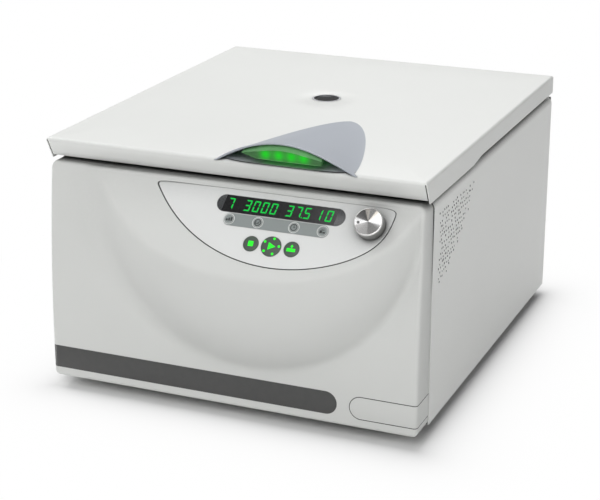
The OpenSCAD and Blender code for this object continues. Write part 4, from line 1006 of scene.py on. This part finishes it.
class CENTRIFUGE_OT_lid(Operator):
    """Builds the folded sheet lid: top, apron and side skirts, open along the slits at its front corners"""
    bl_idname = "centrifuge.lid"
    bl_label = "Lid"

    def execute(self, context):
        paint = context.scene.centrifuge_paint
        r, high = FOLD_R, LID_Z1 - LID_Z0

        # A column is how far down the sheet goes, and its place at b below the top and t inside the skin.
        def fold(b):
            return r - sqrt(r * r - (r - min(b, r)) ** 2)

        def front(b):
            return LID_FRONT + fold(b) + APRON_LEAN * max(0.0, b - r)

        def apron(f):
            return high, lambda b, t: (f * (LID_HALF - SHEET - SLIT - fold(b)), front(b) + t)

        def side(s, y, cut=0.0):
            drop = high + SKIRT_DROP * min(1.0, max(0.0, (JOG_Y1 - y) / (JOG_Y1 - JOG_Y0)))
            way = max(0.0, (JOG_Y0 - y) / (JOG_Y0 - LID_FRONT))
            return drop, lambda b, t: (s * (LID_HALF - fold(b) - max(t, cut)), y + way * (front(b) - LID_FRONT))

        def back(f):
            return high, lambda b, t: (f * (LID_HALF - fold(b) - t), LID_BACK - fold(b) - t)

        ys = np.concatenate([[LID_FRONT + SLIT_SIDE], np.linspace(LID_FRONT + 2, JOG_Y0, 24),
                             np.linspace(JOG_Y0, JOG_Y1, 10)[1:], np.linspace(JOG_Y1, LID_BACK - 3 * r, 24)[1:],
                             [LID_BACK - 1.6 * r]])
        right = [side(1, LID_FRONT, SLIT_SIDE)] + [side(1, y) for y in ys]
        left = [side(-1, y) for y in ys[::-1]] + [side(-1, LID_FRONT, SLIT_SIDE)]
        skirts = right + [back(f) for f in np.linspace(1, -1, 60)] + left
        aprons = [apron(f) for f in np.linspace(-1, 1, 61)]

        turn = acos(1 - SLIT_TOP / r)
        rings = []
        for a in np.linspace(0, turn, 7):
            b = r * (1 - cos(a))
            rings.append([(*at(b, 0.0), LID_Z1 - b) for drop, at in aprons + skirts])
        rim = np.array(rings[0])
        away = rim[:, :2] - (0, AXIS_Y)
        away *= (PORT_D / 2 + PORT_RIM) / np.linalg.norm(away, axis=1)[:, None]
        hole = np.c_[away + (0, AXIS_Y), rim[:, 2]]
        top = [hole - (0, 0, SHEET), hole - (0, 0, SHEET_EDGE)]
        top += [hole + (rim - hole) * f for f in (0.002, 0.12, 0.4, 0.7)]
        parts = [loft(top + rings)]
        for columns in (aprons, skirts):
            sections = []
            for drop, at in columns:
                outer = [(r * (1 - cos(a)), 0.0) for a in np.linspace(turn, pi / 2, 3)]
                outer += [(r + (drop - SHEET_EDGE - r) * f, 0.0) for f in (0.33, 0.67, 1.0)] + [(drop, SHEET_EDGE)]
                inner = [(drop, SHEET - SHEET_EDGE)] + [(b, SHEET) for b, t in outer[-2::-1]]
                sections.append([(*at(b, t), LID_Z1 - b) for b, t in outer + inner])
            points, faces = loft(sections, wrap_cols=False)
            n = len(sections[0])
            for first in (0, (len(columns) - 1) * n):
                faces += [(first + k, first + k + 1, first + n - 2 - k, first + n - 1 - k) for k in range(n // 2 - 1)]
            parts.append((points, faces))
        sheet = add_piece("lid_sheet", in_row(join_parts(*parts)), powder_coat("Lid coat", paint.lid), "lid",
                          ["lid_shell"], 40)
        close_seams(sheet, 40)
        return {"FINISHED"}


# Handle

HOOD_X = CONTROLS_X - 3.5
HOOD_HALF, HOOD_LEN, HOOD_H, HOOD_OVER, HOOD_WALL, HOOD_LIP = 101.0, 237.0, 33.5, 13.0, 2.6, 0.8
HOOD_START, TIP_DIP = LID_FRONT + 0.7, 3.0
LENS_HALF, LENS_LOW, LENS_CUT = 54.0, 9.0, 20.0
LENS_IN, LENS_GAP, LENS_CREST = 3.6, 0.25, 18.0
FLOOR_IN, FLOOR_H = 4.0, 0.8
LAMPS_X, LAMP_H, LAMP_BACK, LAMP_GLOW = (58.5, 77.0, 94.8, 111.7), 16.5, 20.0, 0.0072


def hood_width(v):
    """Half width of the hood, v of its length behind its mouth."""
    return HOOD_HALF * (1 - v) ** 0.6


def hood_point(a, v, drop=0.0):
    """Point of the handle's hood: a from -1 to 1 across, v from 0 at the mouth to 1 at the tail."""
    top = HOOD_H * (1 - v) ** 1.25 * max(0.0, 1 - a * a) ** 1.15
    mouth = HOOD_START - 1.1 * abs(a) ** 8 - HOOD_OVER * (1 - abs(a) ** 4)
    y = mouth * (1 - v) + (HOOD_START + HOOD_LEN) * v
    return HOOD_X + a * hood_width(v), y, LID_Z1 + max(0.0, top - drop) - TIP_DIP * abs(a) ** 8 * (1 - v) ** 12


class CENTRIFUGE_OT_handle(Operator):
    """Builds the handle's hood, its floor, the green lens and the lamps behind it"""
    bl_idname = "centrifuge.handle"
    bl_label = "Lid handle"

    def execute(self, context):
        paint = context.scene.centrifuge_paint
        rows, cols = 72, 96
        across = [-cos(pi * i / cols) for i in range(cols + 1)]
        mouth = ((HOOD_WALL, 0.10), (HOOD_WALL, 0.004), (HOOD_WALL - HOOD_LIP, 0.0), (HOOD_WALL / 2, -0.0015),
                 (HOOD_LIP / 2, -0.001))
        rings = [[hood_point(a, v, drop) for a in across] for drop, v in mouth]
        along = [0.999 * (j / rows) ** 1.3 for j in range(rows + 1)]
        rings += [[hood_point(a, v + 0.0035 * (1 - v)) for a in across] for v in along]
        add_piece("hood_shell", in_row(loft(rings, wrap_cols=False)),
                  fine_moulding("Handle hood", paint.handle, 0.4, 0.004), "lid", ["handle_hood"], 50)
        floor = [[(HOOD_X + a * (hood_width(v) - FLOOR_IN), hood_point(a, v)[1], LID_Z1 + FLOOR_H)
                  for a in np.linspace(-1, 1, 40)] for v in np.linspace(0.03, 0.22, 12)]
        add_piece("hood_floor", in_row(loft(floor, wrap_cols=False)), dull_plastic("Handle floor", (0.52, 0.53, 0.55)),
                  "lid", ["handle_base"])

        def lens_ring(v, bevel, rise=0.0):
            """Ring of the lens at v, its arched top lowered by a bevel and its flat foot raised."""
            foot = LID_Z1 + LENS_LOW
            top = np.array([hood_point(x / (HOOD_HALF - LENS_IN), v, HOOD_WALL + LENS_GAP)
                            for x in np.linspace(LENS_HALF, -LENS_HALF, 64)])
            top[:, 2] -= bevel * np.clip((top[:, 2] - foot) / LENS_CREST, 0, 1)
            low = top[::-1].copy()
            low[:, 2] = foot + rise
            low[:, 0] += LENS_CUT * np.clip((HOOD_X + LENS_HALF - low[:, 0]) / (2 * LENS_HALF), 0, 1)
            top[:, 2] = np.maximum(top[:, 2], foot + rise + 0.4)
            return np.concatenate([top, low])

        rings = [lens_ring(0.004, 8.2, 0.4), lens_ring(0.001, 7.6), lens_ring(0.004, 6.6), lens_ring(0.030, 0.4),
                 lens_ring(0.05, 0.0)]
        spots = [place(x, 4.0, LID_Z1 + LAMP_H) for x in LAMPS_X]
        add_piece("lens_body", in_row(loft(rings, start_cap=True, end_cap=True)),
                  lit_lens("Green lens", spots, LAMP_GLOW), "lid", ["handle_lens"], 40)
        p, faces = turned([(0, -1.0), (3.6, -1.0), (4.2, 0.0), (3.4, 1.6), (1.6, 2.6), (0, 2.9)], 24)
        lamp = np.c_[p[:, 0], -p[:, 2], p[:, 1]]
        lamps = join_parts(*[(lamp + (x, LAMP_BACK, LID_Z1 + LAMP_H), faces) for x in LAMPS_X])
        add_piece("lens_lamps", in_row(lamps), glow("Lamp light", (0.02, 0.9, 0.05), 2.0), "lid", ["led_bar"])
        return {"FINISHED"}


# Finishes of the CAD nodes that stay

class CENTRIFUGE_OT_finishes(Operator):
    """Gives each CAD node that stays in view its finish"""
    bl_idname = "centrifuge.finishes"
    bl_label = "Finishes of the other pieces"

    def execute(self, context):
        paint = context.scene.centrifuge_paint
        looks = {
            "cabinet_paint": powder_coat("Cabinet coat", paint.cabinet, reach=0.03),
            "lid_paint": powder_coat("Lid inner coat", paint.lid),
            "front_plastic": fine_moulding("Front plastic", paint.front),
            "rubber_black": rubber("Black rubber", (0.022, 0.022, 0.023)),
            "steel": brushed("Brushed steel", (0.60, 0.60, 0.60)),
            "rotor_metal": anodised("Rotor anodising", (0.62, 0.63, 0.65)),
            "knob_metal": anodised("Knob anodising", (0.62, 0.62, 0.62)),
            "black_plastic": dull_plastic("Black plastic", (0.025, 0.025, 0.027)),
            "motor_paint": powder_coat("Motor coat", (0.07, 0.075, 0.08), 0.5),
            "board": dull_plastic("Board", (0.02, 0.10, 0.035), 0.4),
            "heater": dull_plastic("Heating mat", (0.40, 0.17, 0.05), 0.6),
            "smoked_glass": smoked_window("Port glass"),
        }
        other = dull_plastic("Grey plastic", (0.3, 0.3, 0.3))
        # Box of the side panels' vent holes, whose walls are painted dark as shade
        low, high = place(0, SEAM_Y + 12, 20), place(0, 330, CABINET_HEIGHT - 8)
        vented = vented_coat("Vented side coat", paint.cabinet, low, high)
        slots = {p["node"]: p["material_slot"] for p in frame["record"]["subparts"]}
        for name, node in frame["nodes"].items():
            look = vented if name.startswith("side_panel") else looks.get(slots.get(name), other)
            node.data.materials.clear()
            node.data.materials.append(look)
        return {"FINISHED"}


# Stage

CAMERA_AT, CAMERA_YAW, CAMERA_PITCH = (908.3, -1908.0, 976.3), -22.7706, 19.5657
CAMERA_LENS, CAMERA_SENSOR = 101.22, 36
# The camera sees the paper at PAPER_SEEN, darker than the PAPER that bounces light: painted shade that deepens the
# floor's shadow
FLOOR_HALF, PAPER, PAPER_SEEN = 30, 0.9, 0.78
LAMP_AIM = Vector((0, 0, 0.15))
# Name, property with its power, place and size in metres
LAMPS = (
    ("front_high", "front", (0.0, -2.6, 2.6), 2.2),
    ("left_high", "left", (-2.2, 0.4, 2.6), 2.0),
    ("rear_high", "back", (0.0, 2.2, 2.6), 2.4),
    ("front_right", "low", (2.2, -2.6, 1.6), 2.0),
    ("right", "right", (3.0, -0.6, 1.6), 1.8),
)


class CENTRIFUGE_OT_stage(Operator):
    """Sets the floor, the light and the camera"""
    bl_idname = "centrifuge.stage"
    bl_label = "Stage"

    def execute(self, context):
        scene = context.scene
        setting = scene.centrifuge_stage
        scene.view_settings.view_transform = "Standard"
        mesh = bpy.data.meshes.new("floor")
        corners = [(x * FLOOR_HALF, y * FLOOR_HALF, 0) for x, y in ((-1, -1), (1, -1), (1, 1), (-1, 1))]
        mesh.from_pydata(corners, [], [(0, 1, 2, 3)])
        floor = bpy.data.objects.new("floor", mesh)
        scene.collection.objects.link(floor)
        low, high = place(-CABINET_HALF, 0, 0), place(CABINET_HALF, CABINET_DEPTH, 0)
        middle, half = [(low[k] + high[k]) / 2 for k in (0, 1)], [(high[k] - low[k]) / 2 for k in (0, 1)]
        mesh.materials.append(pale_floor("Floor paper", PAPER, PAPER_SEEN, setting.reach, middle, half))

        world = bpy.data.worlds.new("Studio")
        scene.world = world
        world.use_nodes = True
        tree = world.node_tree
        room, seen = [node(tree, "Background", "Background", {"Color": (1, 1, 1, 1), "Strength": strength})
                      for strength in (setting.sky, 1)]
        show(tree, mix_shaders(tree, seen_directly(tree), room, seen))
        for name, power, at, size in LAMPS:
            lamp = bpy.data.lights.new(name, "AREA")
            lamp.energy = getattr(setting, power)
            lamp.size = size
            holder = bpy.data.objects.new(name, lamp)
            holder.location = at
            holder.rotation_euler = (LAMP_AIM - Vector(at)).to_track_quat("-Z", "Y").to_euler()
            scene.collection.objects.link(holder)

        camera = bpy.data.cameras.new("camera")
        camera.lens = CAMERA_LENS
        camera.sensor_width = CAMERA_SENSOR
        camera.clip_end = 100
        view = bpy.data.objects.new("camera", camera)
        view.location = place(*CAMERA_AT)
        view.rotation_euler = (radians(90 - CAMERA_PITCH), 0, radians(-CAMERA_YAW))
        scene.collection.objects.link(view)
        scene.camera = view
        return {"FINISHED"}


class CENTRIFUGE_PT_build(Panel):
    """Sizes, colours and the pieces, in the order they are built"""
    bl_idname = "CENTRIFUGE_PT_build"
    bl_label = "Butterfat centrifuge"
    bl_space_type = "VIEW_3D"
    bl_region_type = "UI"
    bl_category = "Centrifuge"

    def draw(self, context):
        for name, _ in GROUPS:
            group = getattr(context.scene, name)
            box = self.layout.box()
            for key in group.bl_rna.properties.keys():
                if key not in ("rna_type", "name"):
                    box.prop(group, key)
        for piece in PIECES:
            self.layout.operator(piece.bl_idname)


GROUPS = (("centrifuge_front", CENTRIFUGE_PG_front), ("centrifuge_paint", CENTRIFUGE_PG_paint),
          ("centrifuge_stage", CENTRIFUGE_PG_stage))
PIECES = (CENTRIFUGE_OT_finishes, CENTRIFUGE_OT_front, CENTRIFUGE_OT_trim, CENTRIFUGE_OT_panel, CENTRIFUGE_OT_keys,
          CENTRIFUGE_OT_knob, CENTRIFUGE_OT_lid, CENTRIFUGE_OT_handle, CENTRIFUGE_OT_stage)


def register():
    for name, group in GROUPS:
        bpy.utils.register_class(group)
        setattr(bpy.types.Scene, name, PointerProperty(type=group))
    for piece in PIECES + (CENTRIFUGE_PT_build,):
        bpy.utils.register_class(piece)


def unregister():
    for piece in reversed(PIECES + (CENTRIFUGE_PT_build,)):
        bpy.utils.unregister_class(piece)
    for name, group in reversed(GROUPS):
        delattr(bpy.types.Scene, name)
        bpy.utils.unregister_class(group)


def main():
    register()
    for piece in PIECES:
        family, action = piece.bl_idname.split(".")
        getattr(getattr(bpy.ops, family), action)()


if __name__ == "__main__":
    main()
